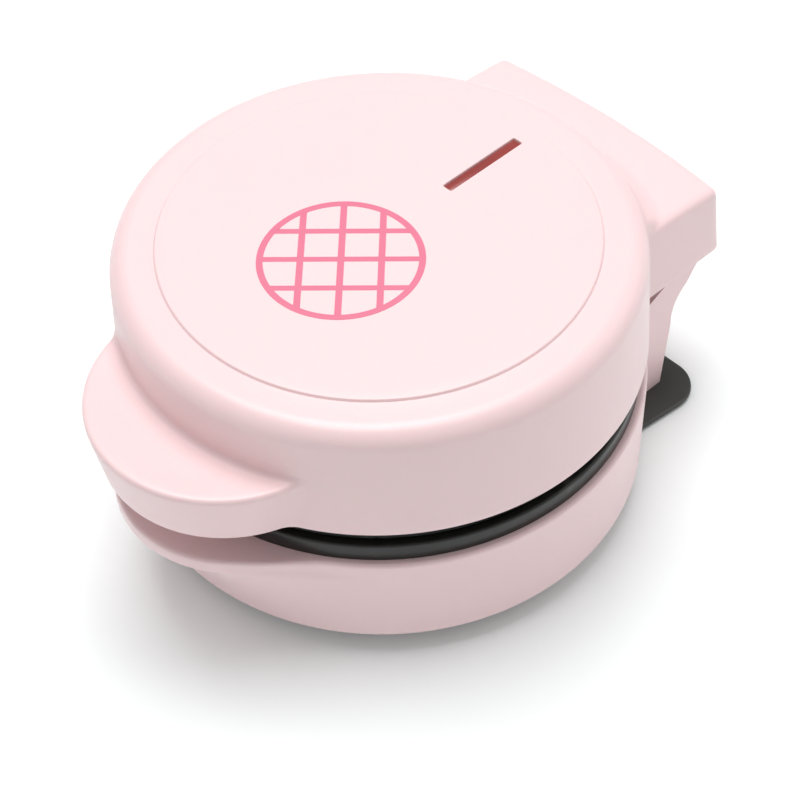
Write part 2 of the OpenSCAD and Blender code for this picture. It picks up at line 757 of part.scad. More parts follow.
// Cover under the rear block with the two ears that turn on the hinge pins
module hinge_yoke() {
    z0 = block_z0 + 0.2;
    color(pink) difference() {
        union() {
            difference() {
                translate([-yoke_hw, pedestal_y0, z0]) cube([2 * yoke_hw, hinge_y + 40 - body_r, yoke_t]);
                cylinder(r = body_r + fit_gap, h = far);
                for (s = [-1, 1]) translate([s * yoke_boss_x, yoke_boss_y, 0])
                    cylinder(r = screw_r + screw_gap, h = far, $fn = 48);
            }
            intersection() {
                translate([0, hinge_y, hinge_z]) rod_x(trough_r1, 2 * yoke_hw);
                translate([-far / 2, 0, z0]) cube(far);
            }
        }
        translate([0, hinge_y, hinge_z]) rod_x(trough_r0, far);
        difference() {
            translate([-far / 2, 0, 0]) cube(far);
            translate([0, block_y1 - block_bulge_r, 0])
                cylinder(r = block_bulge_r - shell_t - 0.5, h = far, $fn = 360);
        }
    }
    color(pink) difference() {
        for (s = [-1, 1]) translate([s * ear_x, hinge_y, hinge_z]) {
            rod_x(ear_r, ear_w);
            translate([-ear_w / 2, -3.5, 0]) cube([ear_w, 7, trough_r0 + 0.2]);
        }
        translate([0, hinge_y, hinge_z]) rod_x(pin_r + pin_clear, far);
    }
}

module hinge_yoke_screws() {
    color(steel) for (s = [-1, 1]) translate([s * yoke_boss_x, yoke_boss_y, 0]) screw(block_z0 + 0.2, 9);
}

module handle_cover() {
    r0 = handle_r - handle_draft - shell_t - fit_gap;
    color(pink) difference() {
        translate([0, handle_y, lid_z0]) cylinder(r = r0, h = handle_cover_t);
        cylinder(r = body_r + fit_gap, h = far);
        for (s = [-1, 1]) translate([s * handle_screw_x, handle_screw_y, 0]) {
            cylinder(r = screw_r + screw_gap, h = far, $fn = 48);
            cylinder(r = head_r + 0.2, h = lid_z0 + 0.8, $fn = 48);
        }
    }
}

module handle_cover_screws() {
    color(steel) for (s = [-1, 1]) translate([s * handle_screw_x, handle_screw_y, 0])
        screw(lid_z0 + 0.8, 7);
}

// Clear red bar that fills the window, with a flange inside the lid
module indicator_lens() {
    z1 = disc_z - lens_recess;
    z0 = lid_z1 - shell_t;
    color(lens_red) {
        translate([-lens_w / 2 + 0.1, lens_y - lens_l / 2 + 0.1, z0 - 1])
            cube([lens_w - 0.2, lens_l - 0.2, z1 - z0 + 1]);
        translate([-lens_w / 2 - lens_flange, lens_y - lens_l / 2, z0 - 1.2])
            cube([lens_w + 2 * lens_flange, lens_l, 1.2]);
    }
}

module indicator_lamps() {
    color("orange") for (s = [-1, 1]) translate([0, lens_y + s * lens_l / 4, holder_z + 1.2 + lamp_r])
        rod_y(lamp_r, 9);
}

module lamp_holder() {
    l = lens_l + 15;
    color(black) difference() {
        union() {
            translate([-5, lens_y - l / 2, holder_z]) cube([10, l, 1.2]);
            for (s = [-1, 1]) translate([s * 3.4 - 0.6, lens_y - lens_l / 2, holder_z])
                cube([1.2, lens_l, 4]);
        }
        for (s = [-1, 1]) translate([0, lens_y + s * post_y, 0])
            cylinder(r = lamp_screw_r + screw_gap, h = far, $fn = 48);
    }
}

module lamp_holder_screws() {
    color(steel) for (s = [-1, 1]) translate([0, lens_y + s * post_y, holder_z - 1]) {
        cylinder(r = 2, h = 1, $fn = 48);
        cylinder(r = lamp_screw_r, h = 6, $fn = 48);
    }
}

module lid_leads() {
    end_y = element_r * cos(element_gap_angle());
    end_z = parting_z + element_back + element_end_l + 5.1;
    color(wire_red) for (s = [-1, 1]) wire([
        [s * element_end_x, end_y, end_z],
        [s * element_end_x, shield_r + 1.5, end_z - 5],
        [s * 5, body_r - 7, lid_z0 + 13],
        [s * 5, hinge_y - 2.5, lid_z0 + 13]
    ]);
}

base_shell();
bottom_cover();
bottom_cover_screws();
rear_foot();
rear_foot_screws();
rear_foot_pads();
front_feet();
cord_bushing();
hinge_pins();
lower_ring();
lower_waffle_plate();
lower_plate_rim();
lower_heating_element();
lower_element_clips();
lower_heat_shield();
lower_shield_screws();
thermostat();
thermostat_bracket();
thermal_fuse();
terminal_block();
base_leads();
lid_shell();
hinge_yoke();
hinge_yoke_screws();
handle_cover();
handle_cover_screws();
upper_ring();
lid_screws();
upper_waffle_plate();
upper_plate_rim();
upper_heating_element();
upper_element_clips();
upper_heat_shield();
upper_shield_screws();
indicator_lens();
indicator_lamps();
lamp_holder();
lamp_holder_screws();
lid_leads();
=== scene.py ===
"""Looks of a small round waffle maker: moulded shells, rings, plates, window, feet and studio.

Lengths are millimetres until a finished mesh is scaled to metres. The lid turns on the
hinge behind the body, so each piece rides either on the base or on the lid.
"""

import logging
import math
from collections.abc import Callable, Iterable
from dataclasses import dataclass, field
from enum import Enum

import bmesh
import bpy
from mathutils import Matrix, Vector


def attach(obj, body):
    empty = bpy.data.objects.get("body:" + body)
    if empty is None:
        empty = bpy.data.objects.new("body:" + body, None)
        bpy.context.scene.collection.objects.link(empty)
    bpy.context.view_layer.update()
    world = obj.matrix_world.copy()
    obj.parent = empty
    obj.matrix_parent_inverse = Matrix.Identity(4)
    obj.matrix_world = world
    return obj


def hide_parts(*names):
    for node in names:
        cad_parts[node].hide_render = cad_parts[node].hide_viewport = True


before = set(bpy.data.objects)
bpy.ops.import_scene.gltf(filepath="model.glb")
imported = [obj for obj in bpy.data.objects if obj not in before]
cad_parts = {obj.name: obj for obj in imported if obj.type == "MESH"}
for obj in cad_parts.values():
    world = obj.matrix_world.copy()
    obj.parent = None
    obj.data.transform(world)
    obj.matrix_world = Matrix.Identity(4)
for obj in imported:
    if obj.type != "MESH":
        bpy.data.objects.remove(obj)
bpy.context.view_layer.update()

MM = 0.001
# An edge that turns by more than this is drawn sharp.
SHARP_ANGLE = math.radians(38)
# Corners closer than this many millimetres are one corner.
SAME_POINT = 0.001
log = logging.getLogger("waffle_maker")

Point = tuple[float, float, float]
Profile = list[tuple[float, float]]
Distance = Callable[[float, float, float], float]


class Body(Enum):
    """The two bodies that the hinge joins."""

    BASE = "base"
    LID = "lid"


# ---------------------------------------------------------------- finishes


def linear(code: str) -> tuple[float, float, float, float]:
    """Turns an sRGB colour into the renderer's linear colour.

    Args:
        code: Six hexadecimal digits.

    Returns:
        Red, green, blue and full alpha.
    """
    parts = [int(code[i:i + 2], 16) / 255 for i in (0, 2, 4)]
    return (*[c / 12.92 if c <= 0.04045 else ((c + 0.055) / 1.055) ** 2.4 for c in parts], 1.0)


def add_node(tree: bpy.types.NodeTree, kind: str, links: dict | None = None, **settings) -> bpy.types.Node:
    """Adds a shader node, with its settings and what goes into its sockets.

    Args:
        tree: The material's nodes.
        kind: The node's type, without its common prefix.
        links: Sockets by name or number, each with a value or the socket that feeds it.
        **settings: The node's own properties.

    Returns:
        The new node.
    """
    node = tree.nodes.new("ShaderNode" + kind)
    for key, value in settings.items():
        setattr(node, key, value)
    for key, value in (links or {}).items():
        if isinstance(value, bpy.types.NodeSocket):
            tree.links.new(value, node.inputs[key])
        else:
            node.inputs[key].default_value = value
    return node


# A fleck's soft rim and full core, as shares of its cell, and how much of its colour shows.
SPECK_OUTER, SPECK_INNER, SPECK_SHARE = 0.16, 0.1, 0.55
# How sharp an edge is where wear starts and where it is full, and how much of its colour shows.
WORN_FROM, WORN_FULL, WORN_SHARE = 0.53, 0.62, 0.5
# How deep light goes into a skin that lets some through, in millimetres.
GLOW_DEPTH = 1.2


@dataclass(frozen=True)
class Finish:
    """A material as the eye meets it: tone, gloss, fine relief and handled edges.

    Each pattern is given by a real size in millimetres.
    """

    name: str
    slot: str
    base: str
    tone: str
    cloud_mm: float
    roughness: float
    spread: float
    grain_mm: float
    relief_mm: float
    relief: float = 0.35
    smear_mm: float = 14.0
    stretch: tuple[float, float, float] = (1.0, 1.0, 1.0)
    metallic: float = 0.0
    ior: float = 1.5
    coat: float = 0.0
    coat_roughness: float = 0.1
    glow_through: float = 0.0
    clear: float = 0.0
    worn: str = ""
    speck: str = ""
    speck_mm: float = 1.0

    def material(self) -> bpy.types.Material:
        """Gives this finish's material, made once and then shared."""
        known = bpy.data.materials.get(self.name)
        return known or self._make()

    def _make(self) -> bpy.types.Material:
        """Builds the node tree.

        Returns:
            The new material.
        """
        made = bpy.data.materials.new(self.name)
        made.use_nodes = True
        tree = made.node_tree
        tree.nodes.clear()
        place = add_node(tree, "TexCoord").outputs["Object"]
        run = add_node(tree, "Mapping", {"Vector": place, "Scale": self.stretch}).outputs["Vector"]
        cloud = add_node(tree, "TexNoise", {"Vector": place, "Scale": 1 / (self.cloud_mm * MM),
                                            "Detail": 4.0})
        colour = add_node(tree, "Mix", {"Factor": cloud.outputs["Fac"], 6: linear(self.base),
                                        7: linear(self.tone)}, data_type="RGBA").outputs[2]
        if self.speck:
            colour = self._specks(tree, run, colour)
        if self.worn:
            colour = self._edges(tree, colour)
        smear = add_node(tree, "TexNoise", {"Vector": run, "Scale": 1 / (self.smear_mm * MM), "Detail": 6.0,
                                            "Roughness": 0.6})
        gloss = add_node(tree, "MapRange", {"Value": smear.outputs["Fac"], "From Min": 0.3, "From Max": 0.7,
                                            "To Min": self.roughness - self.spread,
                                            "To Max": self.roughness + self.spread})
        grain = add_node(tree, "TexNoise", {"Vector": run, "Scale": 1 / (self.grain_mm * MM), "Detail": 2.0})
        bump = add_node(tree, "Bump", {"Height": grain.outputs["Fac"], "Strength": self.relief,
                                       "Distance": self.relief_mm * MM})
        shader = add_node(tree, "BsdfPrincipled", {
            "Base Color": colour, "Roughness": gloss.outputs["Result"], "Normal": bump.outputs["Normal"],
            "Metallic": self.metallic, "IOR": self.ior, "Coat Weight": self.coat,
            "Coat Roughness": self.coat_roughness, "Transmission Weight": self.clear,
            "Subsurface Weight": self.glow_through, "Subsurface Scale": GLOW_DEPTH * MM})
        add_node(tree, "OutputMaterial", {"Surface": shader.outputs["BSDF"]})
        return made

    def _specks(self, tree: bpy.types.NodeTree, run: bpy.types.NodeSocket,
                colour: bpy.types.NodeSocket) -> bpy.types.NodeSocket:
        """Scatters small flecks of a second colour, one to each cell of a random pattern.

        Args:
            tree: The material's nodes.
            run: Place on the surface, stretched along the grain.
            colour: Colour under the flecks.

        Returns:
            Colour with the flecks in it.
        """
        cells = add_node(tree, "TexVoronoi", {"Vector": run, "Scale": 1 / (self.speck_mm * MM)})
        mask = add_node(tree, "MapRange", {"Value": cells.outputs["Distance"], "From Min": SPECK_OUTER,
                                           "From Max": SPECK_INNER, "To Min": 0.0, "To Max": SPECK_SHARE})
        return add_node(tree, "Mix", {"Factor": mask.outputs["Result"], 6: colour, 7: linear(self.speck)},
                        data_type="RGBA").outputs[2]

    def _edges(self, tree: bpy.types.NodeTree, colour: bpy.types.NodeSocket) -> bpy.types.NodeSocket:
        """Lightens the sharpest edges, where hands and cloths rub.

        Args:
            tree: The material's nodes.
            colour: Colour of the unworn skin.

        Returns:
            Colour with paler edges.
        """
        sharp = add_node(tree, "NewGeometry").outputs["Pointiness"]
        mask = add_node(tree, "MapRange", {"Value": sharp, "From Min": WORN_FROM, "From Max": WORN_FULL,
                                           "To Min": 0.0, "To Max": WORN_SHARE})
        return add_node(tree, "Mix", {"Factor": mask.outputs["Result"], 6: colour, 7: linear(self.worn)},
                        data_type="RGBA").outputs[2]


# Injection-moulded ABS, semi-gloss: an even pale skin with a faint orange-peel ripple and soft highlights.
PINK_ABS = Finish("moulded_abs_pale_pink", "pink_shell", "F9DCDD", "F7D8DA", 46, 0.38, 0.035, 1.6, 0.012,
                  0.25, coat=0.05, coat_roughness=0.2, glow_through=0.06)
# Glass-filled nylon, moulded: near black with a fine sparkle-free tooth and a satin sheen.
BLACK_NYLON = Finish("moulded_nylon_black", "black_plastic", "3C3D3B", "343533", 22, 0.46, 0.06, 0.5, 0.02,
                     0.4, worn="5A5B58")
# Phenolic ring, moulded and satin: a green-black that turns grey at a shallow angle.
BLACK_PHENOLIC = Finish("moulded_phenolic_ring", "black_ring", "1D1F1C", "181A17", 18, 0.36, 0.05, 0.6,
                        0.015, 0.35, worn="4A4C49")
# Fluoropolymer non-stick, sprayed and baked: charcoal with fine pale flecks and a soft pebble.
NONSTICK = Finish("baked_nonstick_coating", "nonstick_coating", "2B2B2C", "232324", 16, 0.42, 0.06, 0.9,
                  0.02, 0.45, speck="6B6B6C", speck_mm=1.4, worn="444445")
# Tinted polycarbonate, moulded: a dark red bar that shows the light a little way into it.
RED_LENS = Finish("tinted_polycarbonate_red", "red_lens", "A8443F", "903A36", 9, 0.22, 0.04, 0.8, 0.006, 0.2,
                  ior=1.58, clear=0.1, glow_through=0.1)
# Zinc-plated steel, rolled thread: cool bright metal with a dull bloom in patches.
ZINC_STEEL = Finish("zinc_plated_screw_steel", "screw_steel", "C3C4C4", "A9ABAC", 3, 0.32, 0.1, 0.25, 0.01,
                    0.3, smear_mm=2, metallic=1.0)
# Black-oxide screw steel: dark metal whose drive edges rub bright.
BLACK_OXIDE = Finish("black_oxide_screw_steel", "black_screws", "2C2C2D", "202021", 3, 0.4, 0.08, 0.25, 0.01,
                     0.3, smear_mm=2, metallic=0.9, worn="6A6A6B")
# Ground pin steel: bright metal with fine lines round the pin.
PIN_STEEL = Finish("ground_pin_steel", "pin_steel", "C9C9C8", "B5B5B5", 4, 0.22, 0.07, 0.3, 0.006, 0.3,
                   smear_mm=3, stretch=(6.0, 1.0, 1.0), metallic=1.0)
# Aluminium sheet, rolled and pressed: pale grey metal with a long soft streak.
SHEET = Finish("pressed_aluminium_sheet", "sheet_metal", "BDBEBD", "A6A8A8", 12, 0.38, 0.1, 0.6, 0.01, 0.3,
               smear_mm=9, stretch=(1.0, 6.0, 1.0), metallic=1.0)
# Heater sheath, drawn and oxidised: a warm brown-grey metal skin.
SHEATH = Finish("oxidised_heater_sheath", "element_sheath", "7C7671", "5F5853", 6, 0.42, 0.1, 0.5, 0.012,
                0.35, smear_mm=5, metallic=0.85)
# Soft rubber, moulded: dull black that holds dust.
RUBBER = Finish("moulded_rubber_feet", "rubber_feet", "2B2B2A", "343433", 8, 0.72, 0.08, 0.7, 0.03, 0.5)
# Steatite ceramic, pressed and fired: warm white with a dry, slightly pitted skin.
STEATITE = Finish("pressed_steatite", "ceramic_parts", "E9E4D8", "DDD6C8", 7, 0.62, 0.08, 0.5, 0.02, 0.4,
                  speck="C9C0AF", speck_mm=2.2)
# Glass-fibre sleeve, braided and varnished: muted red with a fine grain and a half-gloss.
SLEEVE = Finish("braided_glass_fibre_sleeve", "wire_sleeve", "A8453B", "97392F", 5, 0.5, 0.06, 0.6, 0.01, 0.3)
# Neon lamp glass, drawn: thin amber glass.
LAMP_GLASS = Finish("drawn_lamp_glass", "neon_lamps", "E9A25A", "E09650", 5, 0.12, 0.03, 0.8, 0.004, 0.2,
                    clear=0.6)
# Pad-printed ink: a flat deeper pink a little duller than the shell under it.
PRINT_INK = Finish("pad_printed_pink_ink", "pink_shell", "E97E99", "E57894", 6, 0.4, 0.04, 0.5, 0.004, 0.2)

NODE_FINISHES = {
    PINK_ABS: ("hinge_yoke",),
    BLACK_NYLON: ("bottom_cover", "cord_bushing", "lamp_holder"),
    ZINC_STEEL: ("lower_shield_screws", "upper_shield_screws", "lamp_holder_screws"),
    PIN_STEEL: ("hinge_pins",),
    SHEET: ("lower_element_clips", "upper_element_clips", "lower_heat_shield", "upper_heat_shield",
            "thermostat_bracket"),
    SHEATH: ("lower_heating_element", "upper_heating_element"),
    RUBBER: ("rear_foot_pads",),
    STEATITE: ("thermostat", "thermal_fuse", "terminal_block"),
    SLEEVE: ("base_leads", "lid_leads"),
    LAMP_GLASS: ("indicator_lamps",),
}
# Kept CAD nodes that show from outside get a bevel: its width in millimetres, and the angle it starts at.
SOFT_NODES = ("bottom_cover", "cord_bushing", "hinge_yoke", "rear_foot_pads")
SOFT_EDGE, SOFT_ANGLE = 0.2, math.radians(50)


# ---------------------------------------------------------------- shaping tools

# A ray's search: most tries, smallest share of the span a try moves in, and how close a hit must be.
RAY_TRIES, RAY_MARGIN, RAY_CLOSE = 26, 0.02, 1e-5


def round_union(a: float, b: float, r: float) -> float:
    """Distance to two solids joined with a hollow fillet of radius r."""
    return max(r, min(a, b)) - math.hypot(max(r - a, 0.0), max(r - b, 0.0))


def round_meet(a: float, b: float, r: float) -> float:
    """Distance to what two solids share, with its edge rounded to radius r."""
    return min(-r, max(a, b)) + math.hypot(max(r + a, 0.0), max(r + b, 0.0))


def ease(low: float, high: float, x: float) -> float:
    """Smooth step from 0 at low to 1 at high."""
    t = min(1.0, max(0.0, (x - low) / (high - low)))
    return t * t * (3 - 2 * t)


def reach(form: Distance, theta: float, start: tuple[float, float], phi: float,
          far: float = 60.0) -> tuple[float, float]:
    """Finds where a ray in the upright plane at angle theta leaves a solid.

    Args:
        form: The solid's distance function.
        theta: Direction of the plane seen from above, in radians from +X.
        start: Distance from the axis and height where the ray starts, inside the solid.
        phi: Rise of the ray, in radians.
        far: Longest ray.

    Returns:
        Distance from the axis and height of the hit.
    """
    ct, st, cp, sp = math.cos(theta), math.sin(theta), math.cos(phi), math.sin(phi)

    def at(t: float) -> float:
        """Distance value t along the ray."""
        rho = start[0] + t * cp
        return form(rho * ct, rho * st, start[1] + t * sp)

    low, high = 0.0, far
    f_low, f_high = at(low), at(high)
    for _ in range(RAY_TRIES):
        mid = low - f_low * (high - low) / (f_high - f_low)
        margin = RAY_MARGIN * (high - low)
        mid = min(max(mid, low + margin), high - margin)
        f_mid = at(mid)
        if abs(f_mid) < RAY_CLOSE:
            break
        if f_mid < 0:
            low, f_low = mid, f_mid
        else:
            high, f_high = mid, f_mid
    return start[0] + mid * cp, start[1] + mid * sp


def fan(form: Distance, theta: float, start: tuple[float, float], low: float, high: float,
        steps: int) -> Profile:
    """Finds where a fan of rays in one upright plane leaves a solid.

    Args:
        form: The solid's distance function.
        theta: Direction of the plane seen from above, in radians from +X.
        start: Distance from the axis and height where every ray starts.
        low: Rise of the first ray, in radians.
        high: Rise of the last ray, in radians.
        steps: Steps between the first ray and the last.

    Returns:
        The hits, in order.
    """
    return [reach(form, theta, start, low + (high - low) * i / steps) for i in range(steps + 1)]


def even_out(line: Profile, count: int, turn_weight: float = 7.0) -> Profile:
    """Spaces points along a line, closer together where it turns.

    Args:
        line: Dense points.
        count: How many points to give back, ends included.
        turn_weight: Length in millimetres that a turn of one radian counts for.

    Returns:
        The chosen points.
    """
    total, marks = 0.0, [0.0]
    for i in range(1, len(line)):
        ax, ay = line[i][0] - line[i - 1][0], line[i][1] - line[i - 1][1]
        step = math.hypot(ax, ay)
        if i + 1 < len(line):
            bx, by = line[i + 1][0] - line[i][0], line[i + 1][1] - line[i][1]
            step += turn_weight * abs(math.atan2(ax * by - ay * bx, ax * bx + ay * by))
        total += step
        marks.append(total)
    out, k = [], 0
    for i in range(count):
        want = total * i / (count - 1)
        while k < len(marks) - 2 and marks[k + 1] < want:
            k += 1
        t = (want - marks[k]) / max(marks[k + 1] - marks[k], 1e-9)
        out.append(tuple(p + (q - p) * t for p, q in zip(line[k], line[k + 1])))
    return out


def new_ring(bm: bmesh.types.BMesh, count: int) -> tuple[list, bmesh.types.BMLayerItem]:
    """Starts a loft with a ring of numbered vertices.

    Args:
        bm: The empty mesh that takes the ring.
        count: How many vertices.

    Returns:
        The ring's edges, and the layer that holds each vertex's number.
    """
    layer = bm.verts.layers.int.new("column")
    bmesh.ops.create_circle(bm, segments=count, radius=1.0)
    for i, v in enumerate(sorted(bm.verts, key=lambda v: math.atan2(v.co.y, v.co.x) % math.tau)):
        v[layer] = i
    return list(bm.edges), layer


def loft(rings: list[Callable[[int], Vector]], count: int, closed: bool) -> bmesh.types.BMesh:
    """Draws a skin out of one ring by extruding it from place to place.

    Args:
        rings: One function a ring, which gives the place of a numbered vertex.
        count: Vertices in a ring.
        closed: Whether the last ring is joined to the first.

    Returns:
        The skin's mesh.
    """
    bm = bmesh.new()
    edges, layer = new_ring(bm, count)
    first = edges
    for v in bm.verts:
        v.co = rings[0](v[layer])
    for ring in rings[1:]:
        grown = bmesh.ops.extrude_edge_only(bm, edges=edges)["geom"]
        for v in grown:
            if isinstance(v, bmesh.types.BMVert):
                v.co = ring(v[layer])
        fresh = {v for v in grown if isinstance(v, bmesh.types.BMVert)}
        edges = [e for e in grown if isinstance(e, bmesh.types.BMEdge) and set(e.verts) <= fresh]
    if closed:
        bmesh.ops.bridge_loops(bm, edges=first + edges)
    return bm


def skin_of(profiles: list[Profile], angles: list[float], closed: bool) -> bmesh.types.BMesh:
    """Lofts upright profiles, one for each angle round the axis.

    Args:
        profiles: Distance from the axis and height of each point, at each angle.
        angles: The angles, in radians.
        closed: Whether each profile's last point is joined to its first.

    Returns:
        The skin's mesh.
    """
    rings = [
        (lambda i, k=k: Vector((profiles[i][k][0] * math.cos(angles[i]),
                                profiles[i][k][0] * math.sin(angles[i]), profiles[i][k][1])))
        for k in range(len(profiles[0]))
    ]
    return loft(rings, len(angles), closed)


def spun(profile: Profile, steps: int = 192, closed: bool = True) -> bmesh.types.BMesh:
    """Turns a profile of (radius, height) points round the upright axis.

    Args:
        profile: The points, in order.
        steps: Steps of the full turn.
        closed: Whether the last point is joined to the first.

    Returns:
        The solid's mesh.
    """
    bm = bmesh.new()
    verts = [bm.verts.new((r, 0, z)) for r, z in profile]
    pairs = list(zip(verts, verts[1:])) + ([(verts[-1], verts[0])] if closed else [])
    edges = [bm.edges.new(p) for p in pairs]
    bmesh.ops.spin(bm, geom=verts + edges, cent=(0, 0, 0), axis=(0, 0, 1), angle=math.tau, steps=steps,
                   use_merge=True, use_duplicate=False)
    bmesh.ops.remove_doubles(bm, verts=bm.verts, dist=SAME_POINT)
    return bm


def softened(profile: Profile, cuts: dict[int, float], segments: int = 3) -> Profile:
    """Rounds chosen corners of a closed profile.

    Args:
        profile: The corner points, in order.
        cuts: Radius for each corner's number.
        segments: Steps of each rounding.

    Returns:
        The profile with its corners rounded.
    """
    out: Profile = []
    for i, p in enumerate(profile):
        radius = cuts.get(i, 0.0)
        if not radius:
            out.append(p)
            continue
        here = Vector(p)
        back = (Vector(profile[i - 1]) - here).normalized()
        ahead = (Vector(profile[(i + 1) % len(profile)]) - here).normalized()
        start, end = here + back * radius, here + ahead * radius
        for k in range(segments + 1):
            t = k / segments
            q = start * (1 - t) ** 2 + here * 2 * t * (1 - t) + end * t ** 2
            out.append((q.x, q.y))
    return out


def block_of(low: Point, high: Point) -> bmesh.types.BMesh:
    """Makes a box.

    Args:
        low: Its corner nearest to the origin's negative side.
        high: The corner across from it.

    Returns:
        The box's mesh.
    """
    bm = bmesh.new()
    bmesh.ops.create_cube(bm, size=1.0)
    low, high = Vector(low), Vector(high)
    for v in bm.verts:
        v.co = (low + high) / 2 + Vector(a * b for a, b in zip(v.co, high - low))
    return bm


def rod(radius: float, start: Point, end: Point, segments: int = 48) -> bmesh.types.BMesh:
    """Makes a round bar from one point to another.

    Args:
        radius: The bar's radius.
        start: Middle of one end.
        end: Middle of the other end.
        segments: Sides of the bar.

    Returns:
        The bar's mesh.
    """
    bm = bmesh.new()
    start, end = Vector(start), Vector(end)
    run = end - start
    bmesh.ops.create_cone(bm, cap_ends=True, segments=segments, radius1=radius, radius2=radius,
                          depth=run.length)
    turn = run.to_track_quat("Z", "Y").to_matrix().to_4x4()
    bmesh.ops.transform(bm, matrix=Matrix.Translation((start + end) / 2) @ turn, verts=bm.verts)
    return bm


def rounded(bm: bmesh.types.BMesh, width: float, segments: int = 3, angle: float = 30) -> bmesh.types.BMesh:
    """Bevels every edge that turns by more than an angle.

    Args:
        bm: The solid, which is changed.
        width: Width of the bevel.
        segments: Steps of the bevel.
        angle: Smallest turn that is bevelled, in degrees.

    Returns:
        The same mesh.
    """
    edges = [e for e in bm.edges if len(e.link_faces) == 2 and e.calc_face_angle(0) > math.radians(angle)]
    bmesh.ops.bevel(bm, geom=edges, offset=width, offset_type="OFFSET", segments=segments, profile=0.5,
                    affect="EDGES", clamp_overlap=True, material=-1)
    return bm


def merged(parts: Iterable[bmesh.types.BMesh]) -> bmesh.types.BMesh:
    """Gathers several meshes into one.

    Args:
        parts: The meshes, which are used up.

    Returns:
        The new mesh.
    """
    out = bmesh.new()
    for part in parts:
        mesh = bpy.data.meshes.new("part")
        part.to_mesh(mesh)
        part.free()
        out.from_mesh(mesh)
        bpy.data.meshes.remove(mesh)
    return out


def loose_object(bm: bmesh.types.BMesh, name: str) -> bpy.types.Object:
    """Puts a mesh into the scene as an object of its own.

    Args:
        bm: The mesh, which is used up.
        name: The object's name.

    Returns:
        The object.
    """
    bmesh.ops.recalc_face_normals(bm, faces=bm.faces)
    mesh = bpy.data.meshes.new(name)
    bm.to_mesh(mesh)
    bm.free()
    obj = bpy.data.objects.new(name, mesh)
    bpy.context.scene.collection.objects.link(obj)
    return obj


def carved(bm: bmesh.types.BMesh, cutters: Iterable[bmesh.types.BMesh]) -> bmesh.types.BMesh:
    """Cuts shapes out of a solid.

    Args:
        bm: The solid.
        cutters: What is taken away, one after the other.

    Returns:
        What is left.
    """
    body = loose_object(bm, "carved")
    tools = [loose_object(c, "cutter") for c in cutters]
    for tool in tools:
        cut = body.modifiers.new("cut", "BOOLEAN")
        cut.operation, cut.solver, cut.object = "DIFFERENCE", "EXACT", tool
    graph = bpy.context.evaluated_depsgraph_get()
    out = bmesh.new()
    shaped = body.evaluated_get(graph).to_mesh()
    out.from_mesh(shaped)
    for obj in (body, *tools):
        mesh = obj.data
        bpy.data.objects.remove(obj)
        bpy.data.meshes.remove(mesh)
    bmesh.ops.dissolve_limit(out, angle_limit=math.radians(1), verts=out.verts, edges=out.edges)
    return out


def piece(name: str, bm: bmesh.types.BMesh, finish: Finish, body: Body,
          stands_for: tuple[str, ...] = ()) -> None:
    """Finishes a piece: scaled to metres, shaded, dressed, and riding on its body.

    Args:
        name: The piece's name.
        bm: Its mesh, in millimetres and in place.
        finish: Its finish.
        body: The body that it moves with.
        stands_for: CAD nodes that it replaces.
    """
    bmesh.ops.scale(bm, vec=(MM, MM, MM), verts=bm.verts)
    obj = loose_object(bm, name)
    mesh = obj.data
    mesh.polygons.foreach_set("use_smooth", [True] * len(mesh.polygons))
    mesh.set_sharp_from_angle(angle=SHARP_ANGLE)
    mesh.materials.append(finish.material())
    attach(obj, body.value)
    if stands_for:
        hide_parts(*stands_for)
    log.info("%s: %d faces, on the %s", name, len(mesh.polygons), body.value)


def wall_angles(windows: list[tuple[float, float, float]], coarse: float) -> list[float]:
    """Angles round the axis, closer together inside some windows.

    Args:
        windows: Start, end and step of each, in degrees from +X.
        coarse: Step everywhere else, in degrees.

    Returns:
        The angles, in radians.
    """
    out, a = [], 0.0
    while a < 360 - 1e-6:
        out.append(math.radians(a))
        step = min([s for low, high, s in windows if low <= a < high] + [coarse])
        a += step
    return out


def round_spots(radius: float, angles: Iterable[float]) -> tuple[tuple[float, float], ...]:
    """Finds places on a circle round the axis.

    Args:
        radius: The circle's radius.
        angles: Angles from +X, in degrees.

    Returns:
        Each place's x and y.
    """
    return tuple((radius * math.cos(math.radians(a)), radius * math.sin(math.radians(a))) for a in angles)


# Angles of the four screws of each round part.
CORNERS = (45, 135, 225, 315)


# ---------------------------------------------------------------- lid


# Points in the outline of the lid's window slot.
SLOT_POINTS = 32
# Rays cast for one profile of the lid's outside and inside, and the points that are kept.
LID_RAYS, LID_POINTS = 150, 62
HOLLOW_RAYS, HOLLOW_POINTS = 60, 26


